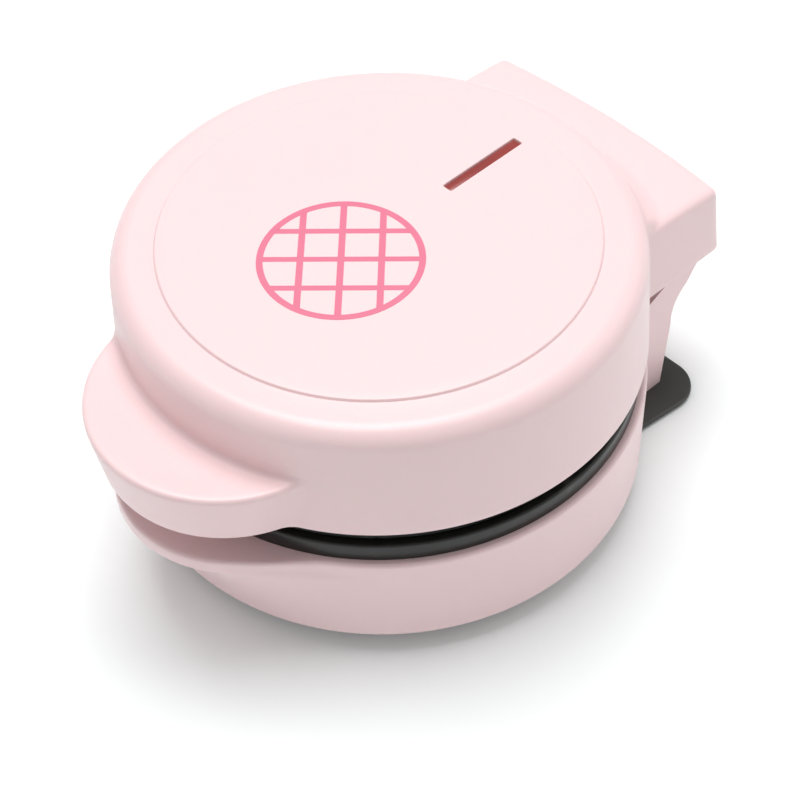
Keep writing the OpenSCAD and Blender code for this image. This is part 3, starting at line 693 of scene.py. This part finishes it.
@dataclass
class LidShell:
    """The pale lid: round shell with a raised disc, a handle in front and the hinge block behind.

    A lean is how far a wall moves inwards over its height.
    """

    rim_r: float = 65.0
    rim_z: float = 44.4
    top_z: float = 76.0
    wall_h: float = 26.6
    lean: float = 1.2
    shoulder_r: float = 5.0
    disc_r: float = 52.7
    disc_rise: float = 0.7
    wall: float = 2.2
    handle_y: float = -48.7
    handle_foot_r: float = 31.2
    handle_r: float = 33.8
    handle_top: float = 60.0
    handle_edge_r: float = 1.5
    handle_fillet: float = 1.7
    dish: float = 0.35
    dish_rim: tuple[float, float] = (1.5, 7.0)
    block_hw: float = 38.4
    block_lean: float = 1.2
    side_h: float = 22.6
    back_lean: float = 1.92
    back_h: float = 23.6
    block_corner_r: float = 1.9
    roof_edge_r: float = 2.2
    block_z: float = 43.2
    block_back: float = 84.2
    block_top: float = 62.8
    block_slope: float = math.tan(math.radians(4.5))
    bulge_r: float = 265.0
    block_fillet: float = 8.0
    side_fillet: float = 0.8
    fillet_blend: float = 4.0
    rim_edge: float = 0.5
    rim_step: tuple[float, float] = (0.2, 1.6)
    aim_r: float = 57.5
    inner_aim_r: float = 52.0
    disc_edge: tuple[tuple[float, float], ...] = (
        (-0.35, 1.0), (-0.12, 0.95), (0.05, 0.7), (0.14, 0.3), (0.3, 0.05), (0.6, 0.0))
    core: tuple[float, float] = (45.0, 50.0)
    flat_r: float = 50.0
    slot_y: float = 34.7
    slot_half: tuple[float, float] = (1.4, 12.2)
    slot_corner: float = 0.45
    slot_rings: tuple[tuple[float, float], ...] = ((0.6, 0.0), (0.3, 0.0), (0.08, 0.08), (0.0, 0.3))
    lining_r: tuple[float, float] = (62.85, 64.25)
    lining_z: tuple[float, float] = (44.45, 60.0)
    angles: list[float] = field(default_factory=lambda: wall_angles(
        [(51, 70, 0.35), (110, 129, 0.35), (228, 312, 0.9), (229, 243, 0.5), (297, 311, 0.5)], 1.5))

    def form(self, x: float, y: float, z: float) -> float:
        """Distance from a point to the lid's blended outer form, which has no underside.

        Args:
            x: The point's place across.
            y: The point's place from front to back.
            z: The point's height.

        Returns:
            The distance, negative inside.
        """
        wall = math.hypot(x, y) - self.rim_r + self.lean * (z - self.rim_z) / self.wall_h
        body = round_meet(wall, z - self.top_z, self.shoulder_r)
        out = body
        if y < 0:
            spread = (self.handle_r - self.handle_foot_r) * (z - self.rim_z) / (self.handle_top - self.rim_z)
            side = math.hypot(x, y - self.handle_y) - self.handle_foot_r - spread
            sunk = self.dish * ease(*self.dish_rim, -side)
            handle = round_meet(side, z - self.handle_top + sunk, self.handle_edge_r)
            out = round_union(body, handle, self.handle_fillet)
        if y > 20:
            side = abs(x) - self.block_hw + self.block_lean * (z - self.block_z) / self.side_h
            back = math.hypot(x, y - self.block_back + self.bulge_r) - self.bulge_r
            back += self.back_lean * (z - self.block_z) / self.back_h
            roof = z - self.block_top - (self.block_back - y) * self.block_slope
            block = round_meet(round_meet(side, back, self.block_corner_r), roof, self.roof_edge_r)
            on_roof = ease(-self.fillet_blend, self.fillet_blend, roof - side)
            fillet = self.side_fillet + (self.block_fillet - self.side_fillet) * on_roof
            out = round_union(body, block, fillet)
        return out

    def inner(self, x: float, y: float, z: float) -> float:
        """Distance to the hollow inside the lid."""
        return self.form(x, y, z) + self.wall

    def rim_height(self, theta: float, rho: float) -> float:
        """Height of the lower edge, which is a little lower along the hinge block.

        Args:
            theta: Angle from +X, in radians.
            rho: Distance of the wall from the axis.

        Returns:
            The height.
        """
        if math.sin(theta) < 0:
            return self.rim_z
        return self.rim_z + (self.block_z - self.rim_z) * ease(*self.rim_step, rho - self.rim_r)

    def profile(self, theta: float) -> Profile:
        """Outline at one angle: disc, shoulder, wall, lower edge, and back up inside.

        Args:
            theta: Angle from +X, in radians.

        Returns:
            Distance from the axis and height of each point.
        """
        edge = self.rim_edge
        rho_w, _ = reach(self.form, theta, (self.core[0], self.rim_z), 0.0)
        foot = self.rim_height(theta, rho_w)
        rho_w, _ = reach(self.form, theta, (self.core[0], foot + edge), 0.0)
        low = math.atan2(foot + edge - self.core[1], rho_w - self.core[0])
        high = math.atan2(self.top_z - self.core[1], self.aim_r - self.core[0])
        outer = even_out(fan(self.form, theta, self.core, low, high, LID_RAYS)[::-1], LID_POINTS)
        step = [(self.flat_r, self.top_z + self.disc_rise)]
        for out, share in self.disc_edge:
            step.append((self.disc_r + out, self.top_z + self.disc_rise * share))
        rho_in, _ = reach(self.inner, theta, (self.core[0], foot + 0.2), 0.0)
        under = [(rho_w - 0.15, foot + 0.15), (rho_w - edge, foot),
                 (rho_in + 0.2, foot), (rho_in, foot + 0.2)]
        low = math.atan2(foot + 1.0 - self.core[1], rho_in - self.core[0])
        high = math.atan2(self.top_z - self.wall - self.core[1], self.inner_aim_r - self.core[0])
        inside = even_out(fan(self.inner, theta, self.core, low, high, HOLLOW_RAYS), HOLLOW_POINTS)
        return step + outer + under + inside + [(self.flat_r, self.top_z - self.wall)]

    def slot_ring(self, grow: float, z: float) -> Callable[[int], Vector]:
        """Places the window slot's outline at a height.

        Args:
            grow: How far the outline stands out from the slot all round.
            z: The height.

        Returns:
            A function that gives the place of a numbered point.
        """
        corner = self.slot_corner

        def at(i: int) -> Vector:
            """Place of one point of the outline."""
            a = math.tau * (i + 0.5) / SLOT_POINTS
            dx, dy = math.cos(a), math.sin(a)
            x = math.copysign(self.slot_half[0] - corner, dx) + dx * (corner + grow)
            y = math.copysign(self.slot_half[1] - corner, dy) + dy * (corner + grow)
            return Vector((x, self.slot_y + y, z))

        return at

    def build(self) -> None:
        """Makes the lid's shell and the rim wall that closes it under the handle and the block."""
        skin = skin_of([self.profile(a) for a in self.angles], self.angles, False)
        bottom, top = self.top_z - self.wall, self.top_z + self.disc_rise
        rings = [self.slot_ring(grow, top - drop) for grow, drop in self.slot_rings]
        slot = loft([*rings, self.slot_ring(0.0, bottom)], SLOT_POINTS, False)
        whole = merged([skin, slot])
        rims = [e for e in whole.edges if e.is_boundary]
        for level in (top, bottom):
            ring = [e for e in rims if all(abs(v.co.z - level) < SAME_POINT for v in e.verts)]
            bmesh.ops.triangle_fill(whole, use_beauty=True, use_dissolve=False, edges=ring)
        piece("lid_shell_skin", whole, PINK_ABS, Body.LID, ("lid_shell",))
        (r0, r1), (z0, z1) = self.lining_r, self.lining_z
        piece("lid_rim_wall", spun([(r0, z0), (r1, z0), (r1, z1), (r0, z1)]), PINK_ABS, Body.LID)


@dataclass
class HandleCover:
    """Crescent plate that closes the handle from below, with its two screws."""

    centre_y: float = -48.7
    radius: float = 28.8
    low: float = 44.4
    high: float = 46.2
    inner_r: float = 64.6
    screw_at: tuple[float, float] = (14.0, -69.4)
    recess_r: float = 2.5
    recess_depth: float = 0.8
    edge: float = 0.25

    def build(self) -> None:
        """Makes the cover with rounded edges and round recesses for its screws."""
        plate = rod(self.radius, (0, self.centre_y, self.low), (0, self.centre_y, self.high), 128)
        y = self.screw_at[1]
        recesses = [rod(self.recess_r, (x, y, self.low - 1), (x, y, self.low + self.recess_depth))
                    for x in (-self.screw_at[0], self.screw_at[0])]
        inside = rod(self.inner_r, (0, 0, self.low - 1), (0, 0, self.high + 1), 256)
        cover = rounded(carved(plate, [inside, *recesses]), self.edge, 2)
        piece("handle_cover_plate", cover, PINK_ABS, Body.LID, ("handle_cover",))


@dataclass
class LampWindow:
    """The red bar that lies in the lid's slot."""

    half: tuple[float, float] = (1.3, 12.1)
    y: float = 34.7
    low: float = 72.8
    high: float = 76.3
    edge: float = 0.4
    flange_hw: float = 2.6
    flange_z: tuple[float, float] = (72.6, 73.6)
    flange_edge: float = 0.2

    def build(self) -> None:
        """Makes the bar and its flange, both with soft edges."""
        bar = block_of((-self.half[0], self.y - self.half[1], self.low),
                       (self.half[0], self.y + self.half[1], self.high))
        flange = block_of((-self.flange_hw, self.y - self.half[1], self.flange_z[0]),
                          (self.flange_hw, self.y + self.half[1], self.flange_z[1]))
        parts = [rounded(bar, self.edge, 3), rounded(flange, self.flange_edge, 2)]
        piece("lamp_window_bar", merged(parts), RED_LENS, Body.LID, ("indicator_lens",))


@dataclass
class PrintedMark:
    """A plain round waffle drawn in ink on the raised disc."""

    centre: tuple[float, float] = (0.0, -12.0)
    radius: float = 19.0
    line: float = 1.6
    low: float = 76.69
    high: float = 76.76
    step: float = 0.015
    turn: float = 45.0

    def build(self) -> None:
        """Makes the ring and the crossed bars inside it."""
        x, y = self.centre
        r, w = self.radius, self.line / 2
        ring = spun([(r - w, self.low), (r + w, self.low), (r + w, self.high), (r - w, self.high)], 96)
        bmesh.ops.translate(ring, vec=(x, y, 0), verts=ring.verts)
        parts = [ring]
        for k in (-1, 0, 1):
            off = k * r / 2
            half = math.sqrt(r * r - off * off)
            first, second = self.high - self.step, self.high - 2 * self.step
            parts.append(block_of((x + off - w, y - half, self.low), (x + off + w, y + half, first)))
            parts.append(block_of((x - half, y + off - w, self.low), (x + half, y + off + w, second)))
        mark = merged(parts)
        turn = Matrix.Rotation(math.radians(self.turn), 3, "Z")
        bmesh.ops.rotate(mark, cent=(x, y, 0), matrix=turn, verts=mark.verts)
        piece("printed_waffle_mark", mark, PRINT_INK, Body.LID)


# ---------------------------------------------------------------- base


# Rays cast for one profile of the base's outside, and the points that are kept.
BASE_RAYS, BASE_POINTS = 130, 56


@dataclass
class BaseShell:
    """The pale base: a round shell with a lip in front."""

    foot_r: float = 64.7
    rim_r: float = 65.3
    low: float = 5.2
    rim_z: float = 33.7
    low_edge: float = 2.6
    rim_edge: float = 1.2
    inner_r: float = 62.5
    seat_r: float = 61.1
    seat_z: float = 7.0
    ledge_r: float = 59.7
    ledge_z: float = 8.6
    mid_z: float = 20.0
    aim_r: tuple[float, float] = (63.6, 61.3)
    lip_r: float = 30.5
    lip_y: float = -47.5
    lip_back: float = -30.5
    lip_t: float = 4.0
    lip_knee: float = 13.8
    lip_fillet: float = 9.0
    lip_ease: float = 1.5
    lip_slope: float = 0.3
    core: tuple[float, float] = (45.0, 23.0)
    angles: list[float] = field(default_factory=lambda: wall_angles([(222, 318, 0.8)], 1.5))

    def form(self, x: float, y: float, z: float) -> float:
        """Distance from a point to the round base blended with its lip.

        Args:
            x: The point's place across.
            y: The point's place from front to back.
            z: The point's height.

        Returns:
            The distance, negative inside.
        """
        share = (z - self.low) / (self.rim_z - self.low)
        side = math.hypot(x, y) - self.foot_r - (self.rim_r - self.foot_r) * share
        body = round_meet(side, self.low - z, self.low_edge)
        if y < 0:
            knee = self.rim_z - self.lip_t
            slide = max(0.0, (knee - z) / (knee - self.lip_knee))
            centre = self.lip_y + (self.lip_back - self.lip_y) * slide
            # below the knee the lip's side slopes, so its distance counts for less
            slope = 1.0 - self.lip_slope * ease(-self.lip_ease, self.lip_ease, knee - z)
            lip = (math.hypot(x, y - centre) - self.lip_r) * slope
            body = round_union(body, lip, self.lip_fillet)
        return round_meet(body, z - self.rim_z, self.rim_edge)

    def profile(self, theta: float) -> Profile:
        """Outline at one angle: rim, wall, lower edge, seat of the cover and back up inside.

        Args:
            theta: Angle from +X, in radians.

        Returns:
            Distance from the axis and height of each point.
        """
        high = math.atan2(self.rim_z - self.core[1], self.aim_r[0] - self.core[0])
        low = math.atan2(self.low - self.core[1], self.aim_r[1] - self.core[0])
        outer = even_out(fan(self.form, theta, self.core, high, low, BASE_RAYS), BASE_POINTS)
        inside = [(self.seat_r, self.low), (self.seat_r, self.seat_z), (self.ledge_r, self.seat_z),
                  (self.ledge_r, self.ledge_z), (self.inner_r, self.ledge_z), (self.inner_r, self.mid_z),
                  (self.inner_r, self.rim_z - 0.2), (self.inner_r + 0.2, self.rim_z)]
        return outer + inside

    def build(self) -> None:
        """Makes the round shell."""
        skin = skin_of([self.profile(a) for a in self.angles], self.angles, True)
        piece("base_shell_skin", skin, PINK_ABS, Body.BASE, ("base_shell",))


# How far a cutter stands clear of what it cuts.
CLEAR = 10.0


@dataclass
class Pedestal:
    """The upright behind the base that carries the hinge pins and the cord's bushing."""

    half_w: float = 35.0
    front: float = 50.0
    front_top: float = 35.1
    slope_y: float = 58.5
    hinge: tuple[float, float] = (72.5, 40.0)
    flare_r: float = 11.3
    flare_turn: float = 57.0
    flare_drop: float = 6.5
    flare_steps: int = 16
    back: float = 68.4
    lean: float = 2.4
    foot_top: float = 2.0
    crown: tuple[tuple[float, float], ...] = ((5.2, -1.0), (4.7, -0.1), (4.0, 0.3), (-2.9, 0.3))
    ring_r: float = 63.7
    ring_z: float = 33.7
    hollow_r: float = 63.1
    hollow_z: float = 8.4
    bushing_r: float = 4.8
    bushing_y: tuple[float, float] = (60.0, 80.0)
    bushing_z: float = 14.0
    pocket_hw: float = 14.5
    pocket_y: tuple[float, float] = (-5.0, 3.6)
    pocket_drop: float = 4.2
    ear_x: float = 23.0
    ear_hw: float = 3.3
    ear_r: float = 5.5
    edge: float = 0.35

    def side(self) -> Profile:
        """Side outline as (y, z) points, from the foot round by the back to the front."""
        y, z = self.hinge
        turn = math.radians(self.flare_turn)
        flare_z = z - self.flare_drop - self.flare_r * math.sin(turn)
        line = [(self.front, self.foot_top), (self.back - self.lean, self.foot_top),
                (self.back, flare_z - 2.0)]
        for i in range(self.flare_steps + 1):
            a = turn * i / self.flare_steps
            line.append((self.back + self.flare_r * (1 - math.cos(a)), flare_z + self.flare_r * math.sin(a)))
        line += [(y + dy, z + dz) for dy, dz in self.crown]
        return line + [(self.slope_y, self.front_top), (self.front, self.front_top)]

    def build(self) -> None:
        """Makes the block, then cuts the body's hollow, the bushing's hole, the pocket and the ear slots."""
        bm = bmesh.new()
        face = bm.faces.new([bm.verts.new((-self.half_w, y, z)) for y, z in self.side()])
        grown = bmesh.ops.extrude_face_region(bm, geom=[face])["geom"]
        bmesh.ops.translate(bm, vec=(2 * self.half_w, 0, 0),
                            verts=[v for v in grown if isinstance(v, bmesh.types.BMVert)])
        y, z = self.hinge
        above, behind = z + CLEAR, y + 2 * CLEAR
        cutters = [rod(self.ring_r, (0, 0, self.ring_z), (0, 0, above + CLEAR), 256),
                   rod(self.hollow_r, (0, 0, self.hollow_z), (0, 0, self.ring_z + 1), 256),
                   rod(self.bushing_r, (0, self.bushing_y[0], self.bushing_z),
                       (0, self.bushing_y[1], self.bushing_z)),
                   block_of((-self.pocket_hw, y + self.pocket_y[0], z - self.pocket_drop),
                            (self.pocket_hw, y + self.pocket_y[1], above))]
        for x in (-self.ear_x, self.ear_x):
            x0, x1 = x - self.ear_hw, x + self.ear_hw
            cutters += [rod(self.ear_r, (x0, y, z), (x1, y, z), 64),
                        block_of((x0, y - self.ear_r, z), (x1, behind, above)),
                        block_of((x0, y, z - self.ear_r), (x1, behind, z + 1))]
        block = rounded(carved(bm, cutters), self.edge, 2, 35)
        piece("base_pedestal", block, PINK_ABS, Body.BASE)


@dataclass
class Feet:
    """The rear foot plate and the two rubber feet in front."""

    plate_hw: float = 44.0
    back: float = 74.3
    corner: float = 9.5
    taper: float = 2.5
    depth: float = 24.0
    low: float = 0.5
    high: float = 2.0
    edge: float = 0.45
    screw_at: tuple[float, float] = (24.8, 63.6)
    recess_r: float = 2.5
    spine_hw: float = 32.0
    spine_y: tuple[float, float] = (53.0, 66.0)
    spine_z: tuple[float, float] = (1.9, 6.0)
    front_at: float = 46.0
    front_turns: tuple[float, float] = (215.0, 325.0)
    front_r: float = 6.0
    front_h: float = 5.4

    def build(self) -> None:
        """Makes the plate with its soft upper edge, and both round feet."""
        shape = bmesh.new()
        y, z = self.back - self.corner, (self.low + self.high) / 2
        for s in (-1, 1):
            for dy, dx in ((0.0, 0.0), (self.depth, self.taper)):
                at = Matrix.Translation((s * (self.plate_hw - dx - self.corner), y - dy, z))
                bmesh.ops.create_cone(shape, cap_ends=True, segments=64, radius1=self.corner,
                                      radius2=self.corner, depth=self.high - self.low, matrix=at)
        hull = bmesh.ops.convex_hull(shape, input=shape.verts)
        bmesh.ops.delete(shape, geom=list(set(hull["geom_interior"] + hull["geom_unused"])), context="VERTS")
        bmesh.ops.dissolve_limit(shape, angle_limit=math.radians(1), verts=shape.verts, edges=shape.edges)
        x, y = self.screw_at
        recesses = [rod(self.recess_r, (s * x, y, 0), (s * x, y, self.high - 0.05)) for s in (-1, 1)]
        plate = carved(rounded(shape, self.edge, 3), recesses)
        spine = block_of((-self.spine_hw, self.spine_y[0], self.spine_z[0]),
                         (self.spine_hw, self.spine_y[1], self.spine_z[1]))
        piece("rear_foot_plate", merged([plate, spine]), BLACK_NYLON, Body.BASE, ("rear_foot",))
        feet = []
        r, h = self.front_r, self.front_h
        for x, y in round_spots(self.front_at, self.front_turns):
            foot = spun(softened([(0.0, 0.0), (r - 0.4, 0.0), (r, h), (0.0, h)], {1: 0.9}), 64, False)
            bmesh.ops.translate(foot, vec=(x, y, 0), verts=foot.verts)
            feet.append(foot)
        piece("front_rubber_feet", merged(feet), RUBBER, Body.BASE, ("front_feet",))


# ---------------------------------------------------------------- plates and rings


@dataclass
class CookingSide:
    """One half of the cooking chamber: a black ring and the plate it holds."""

    body: Body
    prefix: str
    parting_z: float
    up: int
    ring: Profile
    cuts: dict[int, float]
    screw_holes: bool
    screw_at: float = 59.2
    screw_recess: tuple[float, float] = (2.5, 2.95)
    plate_r: float = 56.4
    cavity_r: float = 53.0
    draft: float = 1.6
    lip: float = 0.25
    floor: float = 8.75
    back: float = 11.25
    stud: float = 8.0
    stud_h: float = 6.0
    stud_taper: float = 0.8
    stud_edge: float = 0.8
    sunk: float = 0.4
    pitch: float = 12.0
    stud_margin: float = 1.5

    def height(self, behind: float) -> float:
        """Height of a point so far behind the parting plane."""
        return self.parting_z - self.up * behind

    def plate(self) -> bmesh.types.BMesh:
        """Makes the pan with its rounded well and the tapered studs inside it.

        Returns:
            The plate's mesh.
        """
        line = [(0.0, self.floor), (self.cavity_r - self.draft, self.floor), (self.cavity_r, self.lip),
                (self.plate_r, self.lip), (self.plate_r, self.back), (0.0, self.back)]
        line = softened(line, {1: 2.0, 2: 0.8, 3: 0.5}, 5)
        parts = [spun([(r, self.height(h)) for r, h in line], 192, False)]
        n = math.ceil(self.cavity_r / self.pitch)
        for i in range(-n, n):
            for j in range(-n, n):
                x, y = (i + 0.5) * self.pitch, (j + 0.5) * self.pitch
                corner = math.hypot(abs(x) + self.stud / 2, abs(y) + self.stud / 2)
                if corner < self.cavity_r - self.stud_margin:
                    parts.append(self.one_stud(x, y))
        return merged(parts)

    def one_stud(self, x: float, y: float) -> bmesh.types.BMesh:
        """Makes a square stud with sloping sides and soft edges.

        Args:
            x: Its middle, across.
            y: Its middle, from front to back.

        Returns:
            The stud's mesh.
        """
        half = self.stud / 2
        bm = block_of((x - half, y - half, 0), (x + half, y + half, self.stud_h + self.sunk))
        for v in bm.verts:
            if v.co.z > self.sunk:
                v.co.x = x + (v.co.x - x) * self.stud_taper
                v.co.y = y + (v.co.y - y) * self.stud_taper
            v.co.z = self.height(self.floor + self.sunk - v.co.z)
        return rounded(bm, self.stud_edge, 3)

    def build(self) -> None:
        """Makes the ring and the plate."""
        ring = spun(softened(self.ring, self.cuts))
        if self.screw_holes:
            r, depth = self.screw_recess
            z = self.height(0)
            spots = round_spots(self.screw_at, CORNERS)
            ring = carved(ring, [rod(r, (x, y, z - 2), (x, y, z + depth), 32) for x, y in spots])
        piece(self.prefix + "_ring_band", ring, BLACK_PHENOLIC, self.body, (self.prefix + "_ring",))
        piece(self.prefix + "_plate_studded", self.plate(), NONSTICK, self.body,
              (self.prefix + "_waffle_plate", self.prefix + "_plate_rim"))


LOWER_SIDE = CookingSide(
    Body.BASE, "lower", 38.95, 1,
    [(56.6, 27.7), (62.3, 27.7), (62.3, 33.7), (63.4, 33.72), (63.4, 38.7), (56.6, 38.7)],
    {4: 0.7, 5: 0.4, 3: 0.2}, False)
UPPER_SIDE = CookingSide(
    Body.LID, "upper", 38.95, -1,
    [(56.6, 39.2), (61.7, 39.2), (61.7, 50.2), (56.6, 50.2)], {1: 0.7, 0: 0.4}, True)


# ---------------------------------------------------------------- screws


@dataclass(frozen=True)
class ScrewSet:
    """A set of pan-head screws that all face down."""

    node: str
    body: Body
    finish: Finish
    seat_z: float
    spots: tuple[tuple[float, float], ...]
    head_r: float = 2.3
    head_h: float = 1.3
    neck_r: float = 1.35
    neck_h: float = 4.0
    slot_half: tuple[float, float] = (0.3, 1.2)
    slot_depth: float = 0.7

    def build(self) -> None:
        """Makes domed heads with a cross recess, and the necks behind them."""
        heads = []
        for x, y in self.spots:
            low, r = self.seat_z - self.head_h, self.head_r
            end = self.seat_z + self.neck_h
            line = softened([(0.0, low), (r - 0.1, low + 0.25), (r, self.seat_z), (self.neck_r, self.seat_z),
                             (self.neck_r, end), (0.0, end)], {1: 0.5})
            w, h = self.slot_half
            deep = low + self.slot_depth
            # one bar of the cross is a hair shallower, so that their floors don't lie in one plane
            cross = [block_of((-w, -h, low - 1), (w, h, deep)),
                     block_of((-h, -w, low - 1), (h, w, deep - 0.01))]
            head = carved(spun(line, 40, False), cross)
            # each head stops at an angle of its own
            stop = Matrix.Rotation(x * 0.7 + y, 3, "Z")
            bmesh.ops.rotate(head, cent=(0, 0, 0), matrix=stop, verts=head.verts)
            bmesh.ops.translate(head, vec=(x, y, 0), verts=head.verts)
            heads.append(head)
        piece(self.node + "_heads", merged(heads), self.finish, self.body, (self.node,))


SCREWS = (
    ScrewSet("bottom_cover_screws", Body.BASE, ZINC_STEEL, 5.4, round_spots(56.8, CORNERS)),
    ScrewSet("rear_foot_screws", Body.BASE, ZINC_STEEL, 2.0, ((-24.8, 63.6), (24.8, 63.6))),
    ScrewSet("hinge_yoke_screws", Body.LID, ZINC_STEEL, 43.4, ((-30.0, 62.5), (30.0, 62.5))),
    ScrewSet("handle_cover_screws", Body.LID, ZINC_STEEL, 45.2, ((-14.0, -69.4), (14.0, -69.4))),
    ScrewSet("lid_screws", Body.LID, BLACK_OXIDE, 40.9, round_spots(59.2, CORNERS)),
)


# ---------------------------------------------------------------- studio


def outward(turn: float, rise: float) -> Vector:
    """Points away from the object.

    Args:
        turn: Angle from the front, towards +X, in degrees.
        rise: Angle above the floor, in degrees.

    Returns:
        The direction, of length 1.
    """
    a, e = math.radians(turn), math.radians(rise)
    return Vector((math.sin(a) * math.cos(e), -math.cos(a) * math.cos(e), math.sin(e)))


@dataclass(frozen=True)
class Softbox:
    """A square lamp that looks at the object's middle."""

    name: str
    turn: float
    rise: float
    away: float
    size: float
    watts: float

    def build(self, target: Vector) -> None:
        """Puts the lamp in its place.

        Args:
            target: The point that it looks at, in metres.
        """
        back = outward(self.turn, self.rise)
        data = bpy.data.lights.new(self.name, "AREA")
        data.shape, data.size, data.energy = "SQUARE", self.size, self.watts
        lamp = bpy.data.objects.new(self.name, data)
        lamp.location = target + back * self.away
        lamp.rotation_mode = "QUATERNION"
        lamp.rotation_quaternion = (-back).to_track_quat("-Z", "Y")
        bpy.context.scene.collection.objects.link(lamp)


@dataclass
class Studio:
    """Pale floor, soft lamps and the camera."""

    target: tuple[float, float, float] = (16.4, -8.1, 37.7)
    turn: float = 47.85
    rise: float = 47.53
    roll: float = -2.23
    away: float = 529.0
    lens: float = 98.2
    shift: tuple[float, float] = (-0.0079, 0.0006)
    sensor: float = 36.0
    air: float = 0.38
    paper: str = "F8FDFD"
    paper_glow: float = 0.08
    lamps: tuple[Softbox, ...] = (
        Softbox("key_lamp", 245, 79, 1.3, 0.8, 13.8),
        Softbox("left_lamp", 282, 32, 1.5, 1.0, 0.3),
        Softbox("right_lamp", 158, 30, 1.5, 1.0, 2.6),
    )

    def camera(self) -> None:
        """Makes the camera and gives it to the scene."""
        a, r = math.radians(self.turn), math.radians(self.roll)
        back = outward(self.turn, self.rise)
        right = Vector((math.cos(a), math.sin(a), 0.0))
        up = back.cross(right)
        across = right * math.cos(r) + up * math.sin(r)
        upward = up * math.cos(r) - right * math.sin(r)
        data = bpy.data.cameras.new("camera")
        data.lens, data.sensor_width = self.lens, self.sensor
        data.shift_x, data.shift_y = self.shift
        data.clip_start, data.clip_end = 0.02, 50.0
        cam = bpy.data.objects.new("camera", data)
        turn = Matrix((across, upward, back)).transposed().to_4x4()
        cam.matrix_world = Matrix.Translation((Vector(self.target) + back * self.away) * MM) @ turn
        bpy.context.scene.collection.objects.link(cam)
        bpy.context.scene.camera = cam

    def floor(self) -> None:
        """Makes the pale floor, a hair below the feet, with a faint glow that keeps it white."""
        bm = bmesh.new()
        bmesh.ops.create_grid(bm, x_segments=1, y_segments=1, size=4.0)
        obj = loose_object(bm, "studio_floor")
        obj.location.z = -0.00005
        made = bpy.data.materials.new("studio_paper")
        made.use_nodes = True
        tree = made.node_tree
        tree.nodes.clear()
        shader = add_node(tree, "BsdfPrincipled", {
            "Base Color": linear(self.paper), "Roughness": 0.9, "Emission Color": linear("FFFFFF"),
            "Emission Strength": self.paper_glow})
        add_node(tree, "OutputMaterial", {"Surface": shader.outputs["BSDF"]})
        obj.data.materials.append(made)

    def build(self) -> None:
        """Sets the whole studio up."""
        scene = bpy.context.scene
        scene.view_settings.view_transform = "Standard"
        world = bpy.data.worlds.new("studio_air")
        world.use_nodes = True
        world.node_tree.nodes["Background"].inputs["Color"].default_value = linear("FFFFFF")
        world.node_tree.nodes["Background"].inputs["Strength"].default_value = self.air
        scene.world = world
        self.floor()
        for lamp in self.lamps:
            lamp.build(Vector(self.target) * MM)
        self.camera()


# ---------------------------------------------------------------- all together


def dress_nodes() -> None:
    """Gives each CAD node that stays its finish, and soft edges to those seen from outside."""
    for finish, names in NODE_FINISHES.items():
        for name in names:
            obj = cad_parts[name]
            obj.data.materials.clear()
            obj.data.materials.append(finish.material())
            if name in SOFT_NODES:
                edge = obj.modifiers.new("soft_edge", "BEVEL")
                edge.width, edge.segments = SOFT_EDGE * MM, 2
                edge.limit_method, edge.angle_limit = "ANGLE", SOFT_ANGLE
            log.info("%s: dressed in %s", name, finish.name)


def main() -> None:
    """Builds every sub-assembly in order."""
    logging.basicConfig(level=logging.INFO, format="%(name)s: %(message)s")
    Studio().build()
    for part in (LidShell(), HandleCover(), LampWindow(), PrintedMark(), BaseShell(), Pedestal(), Feet(),
                 LOWER_SIDE, UPPER_SIDE, *SCREWS):
        part.build()
    dress_nodes()


if __name__ == "__main__":
    main()
